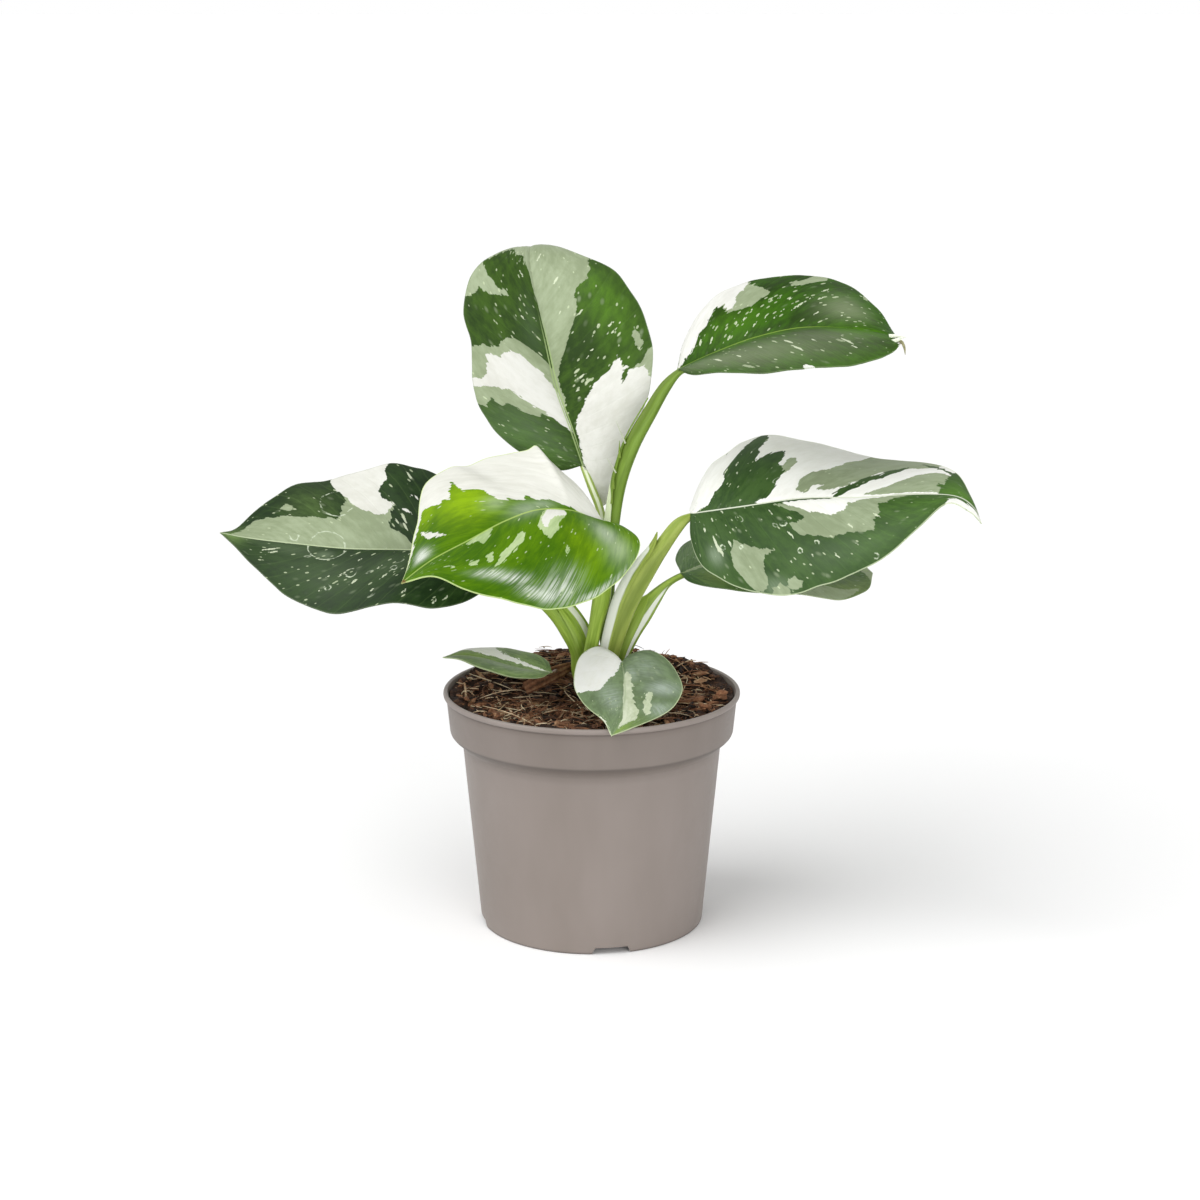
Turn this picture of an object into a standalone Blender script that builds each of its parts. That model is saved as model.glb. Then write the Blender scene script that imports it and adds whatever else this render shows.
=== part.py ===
"""A variegated philodendron growing in a 12 cm plastic nursery pot.

The frame is in metres with +Z up. The origin lies on the floor under the pot's axis, the
viewer's side is -Y, and the two longest leaves reach out along X.
"""
import math

import bmesh
import bpy
from mathutils import Vector
from mathutils.bvhtree import BVHTree

MM = 0.001
GAP = 0.3                    # mm kept between pieces that touch

# Pot, mm
POT_HEIGHT = 97.0
LIP_RADIUS = 60.0
LIP_HEIGHT = 2.4
LIP_TOP_WIDTH = 1.6
BAND_RADIUS = (57.4, 58.8)   # at the bottom and the top of the upright band
BAND_BOTTOM = 80.0
NECK_RADIUS = 52.4
NECK_HEIGHT = 75.5
FOOT_RADIUS = 45.5
FOOT_BEVEL = 0.5
WALL = 1.2
FLOOR_UNDERSIDE = 3.0
FLOOR_TOP = 4.2
FOOT_RING_WIDTH = 2.4
NOTCH_WIDTH = 16.0
NOTCH_HEIGHT = 2.8
NOTCH_FLARE = 1.5            # each side, wider below and narrower above
NOTCH_COUNT = 4
NOTCH_START = -80            # degrees round the axis
DRAIN_RADIUS = 2.5
DRAIN_RING = 30.0
DRAIN_COUNT = 8
POT_STEPS = 56

# Potting mix, mm
MIX_LEVEL = 91.5
MIX_MOUND = 6.5              # how much higher it is heaped behind the plant
MIX_STEPS = 44

# Stem, mm
STEM_PLACE = (3.0, 1.0)
STEM_RADIUS = 4.6
STEM_BOTTOM = 66.0
STEM_TOP = 113.0

# Leaf tissue, mm
BLADE_THICKNESS = 1.0
BLADE_ROWS = 16
BLADE_COLUMNS = 4            # each side of the midrib
BLADE_BULGE = 0.07           # how far a half-blade domes, as a share of its width
VEIN_SWEEP = 1.5             # above 1, side veins start nearer the base than they end
STALK_SIDES = 10
STALK_SPACING = 6.0
PATH_SPACING = 2.0
STALK_END = ((0, 1.3), (3, 1.2), (8, 0.9))   # distance along the midrib, radius

# Each leaf, in mm. The midrib, the left and the right margin run from the point where the
# stalk meets the blade to the tip, left and right as seen from the stalk with the upper face
# up. A stalk point is x, y, z, half width across the view and half depth along it.
LEAVES = {
    "leaf_upper_left": {
        "midrib": [(-3, 14, 186), (-8, 17, 200), (-14, 21, 216), (-18, 25, 233),
                   (-22, 31, 250), (-25, 40, 265), (-25, 51, 270), (-26, 64, 265)],
        "left": [(-14, 14, 184), (-28, 13, 191), (-41, 13, 203), (-47, 14, 216), (-48, 17, 232),
                 (-51, 22, 247), (-48, 29, 261), (-39, 37, 268), (-29, 49, 270)],
        "right": [(0, 15, 175), (5, 15, 169), (11, 14, 180), (19, 13, 203), (23, 14, 218),
                  (24, 18, 234), (19, 24, 249), (9, 32, 262), (-7, 43, 268), (-18, 54, 270)],
        "stalk": [(-0.6, 7.7, 103, 2.6, 2.6), (0, 8.6, 112, 2.6, 2.4), (2.2, 10, 124, 2.3, 2.1),
                  (5, 10.5, 140, 2.2, 2), (5.4, 11, 156, 2, 1.9), (3.4, 12, 168, 1.7, 1.7),
                  (0, 13, 177, 1.6, 1.6)],
    },
    "leaf_upper_right": {
        "midrib": [(36, 4, 225), (49, 4, 233), (64, 4, 239), (82, 3, 243), (101, 1, 243),
                   (115, -2, 241), (121, -5, 238)],
        "left": [(34, 14, 233), (39, 24, 244), (52, 30, 253), (70, 32, 259), (90, 31, 260),
                 (103, 25, 257), (113, 14, 249), (118, 4, 242)],
        "right": [(40, -8, 225), (51, -20, 228), (68, -28, 230), (87, -30, 232),
                  (105, -24, 233), (116, -13, 235)],
        "stalk": [(6.9, 7.8, 103, 2.9, 2.8), (6.8, 6.6, 113, 2.8, 2.4), (6, 5.2, 124, 2.8, 2.2),
                  (6.4, 4.6, 140, 3, 2.2), (7.6, 3.6, 156, 3, 2.2), (9, 3, 172, 3, 2.2),
                  (12, 2, 186, 3.4, 2.4),
                  (17, 2, 199, 3.6, 2.4), (24, 3, 211, 2.4, 2.2), (30, 4, 219, 1.8, 1.8)],
    },
    "leaf_right": {
        "midrib": [(39, -8, 171), (58, -10, 174), (82, -13, 178), (105, -16, 179),
                   (126, -20, 181), (141, -24, 181), (148, -27, 177), (151, -29, 171)],
        "left": [(38, 2, 174), (44, 16, 184), (54, 24, 191), (70, 29, 196), (91, 26, 193),
                 (112, 17, 189), (131, 6, 189), (143, -9, 187), (148, -22, 180)],
        "right": [(39, -17, 162), (44, -27, 153), (57, -34, 147), (75, -38, 145),
                  (94, -38, 150), (111, -36, 158), (125, -33, 169), (137, -30, 179),
                  (146, -30, 176)],
        "stalk": [(6.4, -6.2, 103, 3.2, 2.9), (7.2, -7, 112, 3.8, 2.6), (10, -9, 123, 4.6, 2.6),
                  (14, -10, 136, 5.4, 2.8), (20, -10, 147, 5.4, 3), (26.5, -10, 156, 3.4, 2.4),
                  (33, -9, 164, 2, 2)],
    },
    "leaf_right_small": {
        "midrib": [(36, 8, 143), (46, 9, 146), (62, 11, 148), (80, 13, 147), (99, 14, 145),
                   (114, 12, 142)],
        "left": [(34, 16, 148), (40, 27, 152), (55, 36, 154), (74, 38, 155), (92, 34, 153),
                 (106, 23, 148)],
        "right": [(39, 2, 141), (49, -6, 140), (65, -12, 140), (83, -13, 139),
                  (100, -8, 136), (111, 3, 137)],
        "stalk": [(11, 1.7, 103, 3, 3), (12, 2, 110, 3.4, 2.8), (16, 3, 118, 4, 2.6),
                  (21, 5, 124, 4, 2.4), (26, 6, 130, 3.2, 2.2), (31, 7, 136, 1.6, 1.6)],
    },
    "leaf_front_left": {
        "midrib": [(5, -10, 167), (-6, -14, 173), (-20, -20, 175), (-33, -27, 172),
                   (-47, -35, 166), (-61, -44, 160), (-72, -53, 153)],
        "right": [(-3, -4, 179), (-12, 0, 187), (-24, 2, 196), (-40, 0, 193), (-56, -6, 189),
                  (-65, -17, 184), (-68, -29, 174), (-69, -42, 163)],
        "left": [(15, -16, 166), (19, -24, 161), (13, -34, 152), (0, -43, 144),
                 (-16, -50, 142), (-33, -54, 147), (-48, -55, 151), (-60, -54, 156)],
        "stalk": [(-0.9, -5.7, 103, 2.8, 2.6), (-0.6, -5.8, 112, 2.8, 2.4), (1.5, -6, 124, 2.8, 2.2),
                  (4, -7, 136, 3.6, 2.2), (5.3, -8, 148, 2.6, 2), (5.3, -8.5, 158, 2, 1.9)],
    },
    "leaf_left": {
        "midrib": [(-40, 4, 151), (-57, 5, 153), (-77, 7, 153), (-99, 9, 153),
                   (-122, 10, 155), (-140, 11, 157), (-150, 11, 159)],
        "right": [(-40, 14, 159), (-47, 25, 170), (-63, 35, 178), (-81, 40, 182),
                  (-104, 40, 176), (-122, 34, 174), (-136, 24, 166), (-144, 15, 160)],
        "left": [(-40, -6, 143), (-48, -14, 137), (-62, -19, 135), (-79, -21, 138),
                 (-99, -20, 133), (-116, -13, 136), (-132, -3, 145), (-143, 6, 154)],
        "stalk": [(-5, 1, 103, 3, 3), (-5.6, 1, 112, 3.2, 2.8), (-9, 1.5, 120, 3.6, 2.6),
                  (-15, 2, 128, 3, 2.4), (-25, 3, 137, 2.2, 2), (-34, 4, 145, 1.8, 1.8)],
    },
    "leaf_low_left": {
        "midrib": [(-16, -4, 105), (-29, -3, 106), (-43, 0, 109), (-53, 3, 110), (-60, 5, 109)],
        "right": [(-18, 2, 108), (-25, 8, 110), (-37, 12, 111), (-50, 10, 110)],
        "left": [(-21, -8, 103), (-31, -12, 104), (-43, -12, 107), (-53, -4, 109)],
        "stalk": [(-1.8, -0.7, 97, 1.3, 1.3), (-6, -2.6, 98.5, 1.2, 1.2), (-11, -4, 102, 1.1, 1.1)],
    },
    "leaf_low_front": {
        "midrib": [(12, -22, 114), (13, -31, 109), (13, -41, 104), (11, -53, 100),
                   (9, -60, 99), (8, -66, 97)],
        "right": [(8, -17, 117), (2, -15, 118), (-4, -18, 114), (-6, -28, 108),
                  (-3, -40, 103), (5, -54, 99)],
        "left": [(16, -17, 116), (23, -14, 116), (30, -16, 112), (35, -27, 106),
                 (31, -40, 101), (21, -51, 98)],
        "stalk": [(4.7, -3.8, 97.5, 1.3, 1.3), (8, -8, 98.5, 1.2, 1.2), (11.5, -15, 103, 1.1, 1.1),
                  (12, -19, 109, 1.1, 1.1)],
    },
}

# Loose pieces on the potting mix: centre x, y, heading in degrees, length, width, mm
CHIPS = {
    "bark_chip_1": (-25, -8, 10, 9, 4.5),
    "bark_chip_2": (40, -6, -25, 12, 5),
    "bark_chip_3": (32, 12, 15, 10, 5),
    "bark_chip_4": (-42, -16, 60, 11, 5),
    "bark_chip_5": (-12, -40, -15, 9, 5),
    "bark_chip_6": (45, -26, 70, 8, 4),
    "bark_chip_7": (-32, 26, 35, 12, 6),
    "bark_chip_8": (14, 36, -40, 12, 6),
}
FIBRES = {
    "coir_fibre_1": (-52, 5, 95, 18, 1.2),
    "coir_fibre_2": (-34, -14, -70, 32, 1.2),
    "coir_fibre_3": (44, 14, -55, 24, 1.2),
    "coir_fibre_4": (-8, -28, 25, 22, 1.2),
}
CHIP_THICKNESS = 1.6
FIBRE_THICKNESS = 0.9
LOOSE_GAP = 0.5              # mm between a loose piece and the bumps under it
SHEATH_PATH = [(-30, 12, 95.5), (-24, 10, 97), (-18, 7.5, 100), (-13.5, 5.5, 103.5)]
SHEATH_HALF_WIDTH = 2.4
SHEATH_HALF_DEPTH = 0.7

# Finishes: colour, roughness
FINISHES = {
    "pot plastic": ((0.29, 0.26, 0.24), 0.5),
    "potting mix": ((0.035, 0.018, 0.011), 0.95),
    "stem": ((0.10, 0.13, 0.03), 0.6),
    "leaf": ((0.07, 0.16, 0.03), 0.35),
    "bark": ((0.12, 0.045, 0.018), 0.9),
    "coir": ((0.35, 0.2, 0.09), 0.85),
}


def clear_scene():
    for thing in list(bpy.data.objects):
        bpy.data.objects.remove(thing)


def finish_material(name):
    colour, roughness = FINISHES[name]
    material = bpy.data.materials.new(name)
    material.use_nodes = True
    shader = material.node_tree.nodes["Principled BSDF"]
    shader.inputs["Base Color"].default_value = (*colour, 1)
    shader.inputs["Roughness"].default_value = roughness
    shader.inputs["Metallic"].default_value = 0
    return material


def object_from(name, shape, finish):
    """Turn a bmesh drawn in mm into a named object in metres."""
    bmesh.ops.scale(shape, vec=(MM, MM, MM), verts=shape.verts)
    mesh = bpy.data.meshes.new(name)
    shape.to_mesh(mesh)
    shape.free()
    mesh.shade_smooth()
    mesh.set_sharp_from_angle(angle=math.radians(40))
    thing = bpy.data.objects.new(name, mesh)
    bpy.context.collection.objects.link(thing)
    if finish:
        mesh.materials.append(finish_material(finish))
    return thing


def as_cutter(thing):
    thing.hide_render = True
    thing.display_type = "WIRE"
    return thing


def add_boolean(thing, cutter, operation):
    step = thing.modifiers.new(operation.title(), "BOOLEAN")
    step.operation = operation
    step.object = as_cutter(cutter)
    step.solver = "EXACT"


def turned(profile, steps):
    """Spin a profile of (radius, height) points that starts and ends on the axis."""
    shape = bmesh.new()
    points = [shape.verts.new((radius, 0, height)) for radius, height in profile]
    edges = [shape.edges.new(pair) for pair in zip(points, points[1:])]
    bmesh.ops.spin(shape, geom=points + edges, cent=(0, 0, 0), axis=(0, 0, 1),
                   angle=math.tau, steps=steps, use_merge=True)
    bmesh.ops.remove_doubles(shape, verts=shape.verts, dist=0.001)
    bmesh.ops.recalc_face_normals(shape, faces=shape.faces)
    return shape


def smooth_path(points, spacing):
    """Points about spacing apart along a Catmull-Rom curve through the given ones."""
    points = [Vector(point) for point in points]
    ends = [2 * points[0] - points[1], *points, 2 * points[-1] - points[-2]]
    dense = []
    for before, start, end, after in zip(ends, ends[1:], ends[2:], ends[3:]):
        for step in range(12):
            t = step / 12
            dense.append(0.5 * (2 * start + (end - before) * t
                                + (2 * before - 5 * start + 4 * end - after) * t ** 2
                                + (3 * start - before - 3 * end + after) * t ** 3))
    dense.append(points[-1])
    lengths = [0]
    for here, there in zip(dense, dense[1:]):
        lengths.append(lengths[-1] + (there - here).length)
    count = max(2, round(lengths[-1] / spacing))
    return [point_at(dense, lengths, lengths[-1] * i / count) for i in range(count + 1)]


def point_at(dense, lengths, distance):
    for i in range(1, len(dense)):
        if lengths[i] >= distance:
            share = (distance - lengths[i - 1]) / max(lengths[i] - lengths[i - 1], 1e-9)
            return dense[i - 1].lerp(dense[i], share)
    return dense[-1].copy()


def along(path, share):
    """The point at a share of the way along an evenly spaced path."""
    place = min(max(share, 0), 1) * (len(path) - 1)
    start = min(int(place), len(path) - 2)
    return path[start].lerp(path[start + 1], place - start)


# ---------------------------------------------------------------------------- pot

def shoulder_point(degrees, inset):
    """A point on the round shoulder that carries the neck out to the band."""
    turn = math.radians(degrees)
    return (NECK_RADIUS - inset + (BAND_RADIUS[0] - NECK_RADIUS) * math.sin(turn),
            NECK_HEIGHT + (BAND_BOTTOM - NECK_HEIGHT) * (1 - math.cos(turn)))


def pot_profile():
    """The pot's outer and inner outlines, from the axis up to the lip and back down."""
    ring_inside = FOOT_RADIUS - FOOT_RING_WIDTH
    lip_foot = POT_HEIGHT - LIP_HEIGHT
    outer = [(0, FLOOR_UNDERSIDE), (ring_inside, FLOOR_UNDERSIDE), (ring_inside, 0),
             (FOOT_RADIUS - FOOT_BEVEL, 0), (FOOT_RADIUS, FOOT_BEVEL),
             (NECK_RADIUS, NECK_HEIGHT)]
    outer += [shoulder_point(degrees, 0) for degrees in (20, 45, 70, 90)]
    outer += [(BAND_RADIUS[1], lip_foot), (LIP_RADIUS - 0.4, lip_foot + 0.3),
              (LIP_RADIUS, lip_foot + 1), (LIP_RADIUS - 0.2, POT_HEIGHT - 0.4),
              (LIP_RADIUS - 0.8, POT_HEIGHT), (LIP_RADIUS - LIP_TOP_WIDTH, POT_HEIGHT - 0.2)]
    inner = [(BAND_RADIUS[1] - WALL, lip_foot)]
    inner += [shoulder_point(degrees, WALL) for degrees in (90, 60, 30, 0)]
    inner += [(FOOT_RADIUS - WALL, FLOOR_TOP), (0, FLOOR_TOP)]
    return outer, inner


def make_pot():
    outer, inner = pot_profile()
    pot = object_from("pot", turned(outer + inner, POT_STEPS), "pot plastic")
    cuts = bmesh.new()
    for i in range(NOTCH_COUNT):
        turn = math.radians(NOTCH_START) + math.tau * i / NOTCH_COUNT
        middle = FOOT_RADIUS - FOOT_RING_WIDTH / 2
        notch = bmesh.ops.create_cube(cuts, size=1)["verts"]
        size = (3 * FOOT_RING_WIDTH, NOTCH_WIDTH, 2 * NOTCH_HEIGHT)
        bmesh.ops.scale(cuts, vec=size, verts=notch)
        bmesh.ops.translate(cuts, vec=(middle, 0, 0), verts=notch)
        for corner in notch:
            flare = NOTCH_FLARE if corner.co.z < 0 else -NOTCH_FLARE
            corner.co.y += math.copysign(flare, corner.co.y)
        rotate_about_axis(cuts, notch, turn)
    for i in range(DRAIN_COUNT):
        turn = math.tau * (i + 0.5) / DRAIN_COUNT
        hole = bmesh.ops.create_cone(cuts, segments=16, radius1=DRAIN_RADIUS, cap_ends=True,
                                     radius2=DRAIN_RADIUS, depth=4 * WALL)["verts"]
        bmesh.ops.translate(cuts, vec=(DRAIN_RING, 0, FLOOR_TOP), verts=hole)
        rotate_about_axis(cuts, hole, turn)
    add_boolean(pot, object_from("pot_cuts", cuts, None), "DIFFERENCE")


def rotate_about_axis(shape, verts, turn):
    cosine, sine = math.cos(turn), math.sin(turn)
    for vert in verts:
        x, y = vert.co.x, vert.co.y
        vert.co.x, vert.co.y = x * cosine - y * sine, x * sine + y * cosine


# ------------------------------------------------------------------- potting mix

def mix_height(x, y):
    """The lumpy top of the mix, heaped up behind the plant."""
    rise = min(max((y - 2) / 42, 0), 1)
    mound = MIX_MOUND * rise * rise * (3 - 2 * rise)
    lumps = (0.7 * math.sin(0.31 * x + 1.3) * math.cos(0.27 * y)
             + 0.5 * math.sin(0.19 * x - 0.43 * y + 0.6)
             + 0.4 * math.cos(0.52 * x + 0.35 * y))
    return MIX_LEVEL + mound + lumps


def make_potting_mix():
    _, inner = pot_profile()
    wall = [(radius - GAP, height) for radius, height in inner if radius > 0]
    edge, shoulder = wall[0], wall[1]
    top_rings = [0, 7, 13, 19, 26, 33, 40, 47, 52, edge[0]]
    profile = [(radius, MIX_LEVEL) for radius in top_rings] + wall[1:-1]
    profile += [(wall[-1][0], FLOOR_TOP + GAP), (0, FLOOR_TOP + GAP)]
    shape = turned(profile, MIX_STEPS)
    for vert in shape.verts:
        if abs(vert.co.z - MIX_LEVEL) < 0.01:
            vert.co.z = mix_height(vert.co.x, vert.co.y)
            if vert.co.xy.length > edge[0] - 1:
                share = min((vert.co.z - shoulder[1]) / (edge[1] - shoulder[1]), 1)
                radius = shoulder[0] + share * (edge[0] - shoulder[0])
                vert.co.xy *= radius / vert.co.xy.length
    mix = object_from("potting_mix", shape, "potting mix")
    socket = bmesh.new()
    bmesh.ops.create_cone(socket, segments=24, radius1=STEM_RADIUS + GAP, cap_ends=True,
                          radius2=STEM_RADIUS + GAP, depth=60)
    bmesh.ops.translate(socket, vec=(*STEM_PLACE, STEM_BOTTOM - GAP + 30), verts=socket.verts)
    add_boolean(mix, object_from("stem_socket", socket, None), "DIFFERENCE")
    return mix


def surface_of(thing):
    """A tree for finding the height of an object's top, after its modifiers."""
    graph = bpy.context.evaluated_depsgraph_get()
    graph.update()
    return BVHTree.FromObject(thing, graph)


def height_on(surface, x, y):
    hit = surface.ray_cast(Vector((x * MM, y * MM, 0.2)), Vector((0, 0, -1)))[0]
    return hit.z / MM


# ------------------------------------------------------------------------ plant

def make_stem():
    """The short stem, ringed where older leaves have dropped."""
    profile = [(0, STEM_BOTTOM), (STEM_RADIUS - 0.8, STEM_BOTTOM), (STEM_RADIUS, STEM_BOTTOM + 1)]
    for ring in range(5):
        height = STEM_BOTTOM + 8 + 8 * ring
        profile += [(STEM_RADIUS - 0.5, height - 2), (STEM_RADIUS, height),
                    (STEM_RADIUS - 0.5, height + 1)]
    profile += [(STEM_RADIUS - 0.8, STEM_TOP - 5), (STEM_RADIUS - 1.8, STEM_TOP - 1.5),
                (STEM_RADIUS - 3.2, STEM_TOP), (0, STEM_TOP)]
    shape = turned(profile, 20)
    bmesh.ops.translate(shape, vec=(*STEM_PLACE, 0), verts=shape.verts)
    object_from("stem", shape, "stem")


def blade_rows(leaf):
    """Rows of points across a blade, from its base point to its tip."""
    base, tip = leaf["midrib"][0], leaf["midrib"][-1]
    midrib = smooth_path(leaf["midrib"], PATH_SPACING)
    left = smooth_path([base, *leaf["left"], tip], PATH_SPACING)
    right = smooth_path([base, *leaf["right"], tip], PATH_SPACING)
    rows = []
    for i in range(1, BLADE_ROWS):
        share = i / BLADE_ROWS
        start = share ** VEIN_SWEEP
        middle = along(midrib, start)
        sides = along(left, share), along(right, share)
        ahead = along(midrib, start + 0.05) - middle
        upward = (sides[1] - sides[0]).cross(ahead).normalized()
        rows.append(half_row(middle, sides[0], upward)[::-1] + [middle]
                    + half_row(middle, sides[1], upward))
    return midrib[0], rows, midrib[-1]


def half_row(middle, edge, upward):
    """Points from beside the midrib out to the margin, domed upward between them."""
    points = []
    for j in range(1, BLADE_COLUMNS + 1):
        share = j / BLADE_COLUMNS
        dome = 4 * share * (1 - share) * BLADE_BULGE * (edge - middle).length
        points.append(middle.lerp(edge, share) + upward * dome)
    return points


def blade_shape(leaf):
    base, rows, tip = blade_rows(leaf)
    shape = bmesh.new()
    first, last = shape.verts.new(base), shape.verts.new(tip)
    grid = [[shape.verts.new(point) for point in row] for row in rows]
    for row, ahead in zip(grid, grid[1:]):
        for j in range(len(row) - 1):
            shape.faces.new((row[j], row[j + 1], ahead[j + 1], ahead[j]))
    for j in range(len(grid[0]) - 1):
        shape.faces.new((first, grid[0][j + 1], grid[0][j]))
        shape.faces.new((grid[-1][j], grid[-1][j + 1], last))
    return shape


def stalk_shape(points, spacing):
    """A closed tube of oval section along points of x, y, z, half width, half depth."""
    path = smooth_path(points, spacing)
    shape = bmesh.new()
    rings = []
    for i, station in enumerate(path):
        ahead = path[min(i + 1, len(path) - 1)] - path[max(i - 1, 0)]
        tangent = Vector(ahead[:3]).normalized()
        across = tangent.cross(Vector((0, 1, 0))).normalized()
        deep = tangent.cross(across)
        ring = []
        for side in range(STALK_SIDES):
            turn = math.tau * side / STALK_SIDES
            offset = across * station[3] * math.cos(turn) + deep * station[4] * math.sin(turn)
            ring.append(shape.verts.new(Vector(station[:3]) + offset))
        rings.append(ring)
    for ring, ahead in zip(rings, rings[1:]):
        for side in range(STALK_SIDES):
            after = (side + 1) % STALK_SIDES
            shape.faces.new((ring[side], ring[after], ahead[after], ahead[side]))
    shape.faces.new(rings[0][::-1])
    shape.faces.new(rings[-1])
    bmesh.ops.recalc_face_normals(shape, faces=shape.faces)
    return shape


def stalk_end(leaf):
    """Where the stalk runs on under the blade as the start of the midrib."""
    _, rows, _ = blade_rows(leaf)
    midrib = smooth_path(leaf["midrib"], PATH_SPACING)
    ends = []
    for distance, radius in STALK_END:
        share = distance / (PATH_SPACING * (len(midrib) - 1))
        middle = along(midrib, share)
        ahead = along(midrib, share + 0.1) - middle
        upward = (rows[3][-1] - rows[3][0]).cross(ahead).normalized()
        ends.append((*(middle - upward * radius), radius, radius))
    return ends


def make_leaf(name, leaf):
    blade = object_from(name, blade_shape(leaf), "leaf")
    thick = blade.modifiers.new("Thickness", "SOLIDIFY")
    thick.thickness = BLADE_THICKNESS * MM
    thick.offset = 0
    stalk = stalk_shape(leaf["stalk"] + stalk_end(leaf), STALK_SPACING)
    add_boolean(blade, object_from(name + "_stalk", stalk, None), "UNION")


# ------------------------------------------------------- loose pieces on the mix

def loose_shape(surface, place, thickness, rounding):
    """A sliver that narrows to its ends and follows the bumps of the mix under it."""
    x, y, heading, length, width = place
    turn = math.radians(heading)
    steps = max(4, round(length / 2))
    shape = bmesh.new()
    rings = []
    for i in range(steps + 1):
        share = i / steps
        half = width / 2 * (1 - rounding * abs(2 * share - 1) ** 3)
        ring = []
        for side, lift in ((-1, 0), (1, 0), (0.8, 1), (-0.8, 1)):
            forward, sideways = (share - 0.5) * length, side * half
            here = (x + forward * math.cos(turn) - sideways * math.sin(turn),
                    y + forward * math.sin(turn) + sideways * math.cos(turn))
            ground = max(height_on(surface, here[0] + dx, here[1] + dy)
                         for dx in (-1, 0, 1) for dy in (-1, 0, 1))
            ring.append(shape.verts.new((*here, ground + LOOSE_GAP + lift * thickness)))
        rings.append(ring)
    for ring, ahead in zip(rings, rings[1:]):
        for side in range(4):
            after = (side + 1) % 4
            shape.faces.new((ring[side], ring[after], ahead[after], ahead[side]))
    shape.faces.new(rings[0][::-1])
    shape.faces.new(rings[-1])
    bmesh.ops.recalc_face_normals(shape, faces=shape.faces)
    return shape


def make_loose_pieces(mix):
    surface = surface_of(mix)
    for name, place in CHIPS.items():
        object_from(name, loose_shape(surface, place, CHIP_THICKNESS, 0.4), "bark")
    for name, place in FIBRES.items():
        object_from(name, loose_shape(surface, place, FIBRE_THICKNESS, 0.5), "coir")
    sheath = [(*point, SHEATH_HALF_WIDTH, SHEATH_HALF_DEPTH) for point in SHEATH_PATH]
    object_from("dried_sheath", stalk_shape(sheath, 4), "bark")


def main():
    clear_scene()
    make_pot()
    mix = make_potting_mix()
    make_stem()
    for name, leaf in LEAVES.items():
        make_leaf(name, leaf)
    make_loose_pieces(mix)


main()
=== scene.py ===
# %% [markdown]
# # A potted philodendron with cream and green leaves
#
# This lesson builds a young variegated philodendron in a 12 cm nursery pot. The plant
# has eight leaves on sheathed stalks, a short stem, and a pot full of coir and bark.
#
# The imported CAD model gives every size and place. We load it first.

# %% The frame
import math
import random
from functools import partial

import bpy
import numpy as np
from mathutils import Matrix, Vector, noise


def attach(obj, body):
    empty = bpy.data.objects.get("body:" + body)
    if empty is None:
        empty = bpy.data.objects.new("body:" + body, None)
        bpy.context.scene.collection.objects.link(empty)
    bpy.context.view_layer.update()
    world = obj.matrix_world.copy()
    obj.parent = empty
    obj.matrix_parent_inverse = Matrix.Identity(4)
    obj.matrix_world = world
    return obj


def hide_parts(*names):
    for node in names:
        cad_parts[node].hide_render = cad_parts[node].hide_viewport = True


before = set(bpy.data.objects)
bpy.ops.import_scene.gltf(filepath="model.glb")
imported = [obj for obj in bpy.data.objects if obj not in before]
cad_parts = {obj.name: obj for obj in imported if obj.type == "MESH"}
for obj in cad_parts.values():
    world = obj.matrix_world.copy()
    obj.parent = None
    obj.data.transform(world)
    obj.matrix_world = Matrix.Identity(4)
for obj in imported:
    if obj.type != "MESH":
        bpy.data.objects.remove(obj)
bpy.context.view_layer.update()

MM = 0.001
bpy.ops.object.select_all(action="DESELECT")


# %% [markdown]
# ## Helpers for every material
#
# Colours are written as sRGB hex, the way a paint card or a web page gives them. Blender
# calculates with linear light, so one function converts them. A second one adds a node of
# any kind, sets it up and joins its inputs, which keeps a long material readable. Each new
# material hands it over ready for its own node tree, under the short name add.

# %% Colour and node helpers
def linear(hex_colour, alpha=1.0):
    """Turn an sRGB hex colour such as #8a837d into linear light."""
    channels = [int(hex_colour[i:i + 2], 16) / 255 for i in (1, 3, 5)]
    return (*[c / 12.92 if c <= 0.04045 else ((c + 0.055) / 1.055) ** 2.4
              for c in channels], alpha)


def add_node(tree, kind, inputs=(), output=0, **settings):
    """Add a node and return one of its outputs, by number or name.

    The inputs are listed in socket order, or given as {name or number: input}. Each is a
    plain value, or another node's output to link to it.
    """
    node = tree.nodes.new("ShaderNode" + kind)
    for name, value in settings.items():
        setattr(node, name, value)
    for key, value in inputs.items() if isinstance(inputs, dict) else enumerate(inputs):
        if isinstance(value, bpy.types.NodeSocket):
            tree.links.new(value, node.inputs[key])
        else:
            node.inputs[key].default_value = value
    return node.outputs[output] if node.outputs else None


def fill_ramp(colours, stops):
    """Set a colour ramp, known by its output, from (position, hex colour) pairs."""
    elements = colours.node.color_ramp.elements
    while len(elements) < len(stops):
        elements.new(0.5)
    for element, (position, colour) in zip(elements, stops):
        element.position, element.color = position, linear(colour)


def new_material(name):
    """An empty material, and the function that adds a node to it."""
    material = bpy.data.materials.new(name)
    material.use_nodes = True
    material.node_tree.nodes.clear()
    return material, partial(add_node, material.node_tree)


print("taupe in linear light:", [round(c, 3) for c in linear("#938c86")])


# %% [markdown]
# ## Camera
#
# The plant is seen from a little above, from the front, with a long lens about a metre
# away, so the pot's sides hardly converge. The camera looks 13.6 degrees down. A long
# lens keeps the leaves that reach forward from looking too big.

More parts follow.
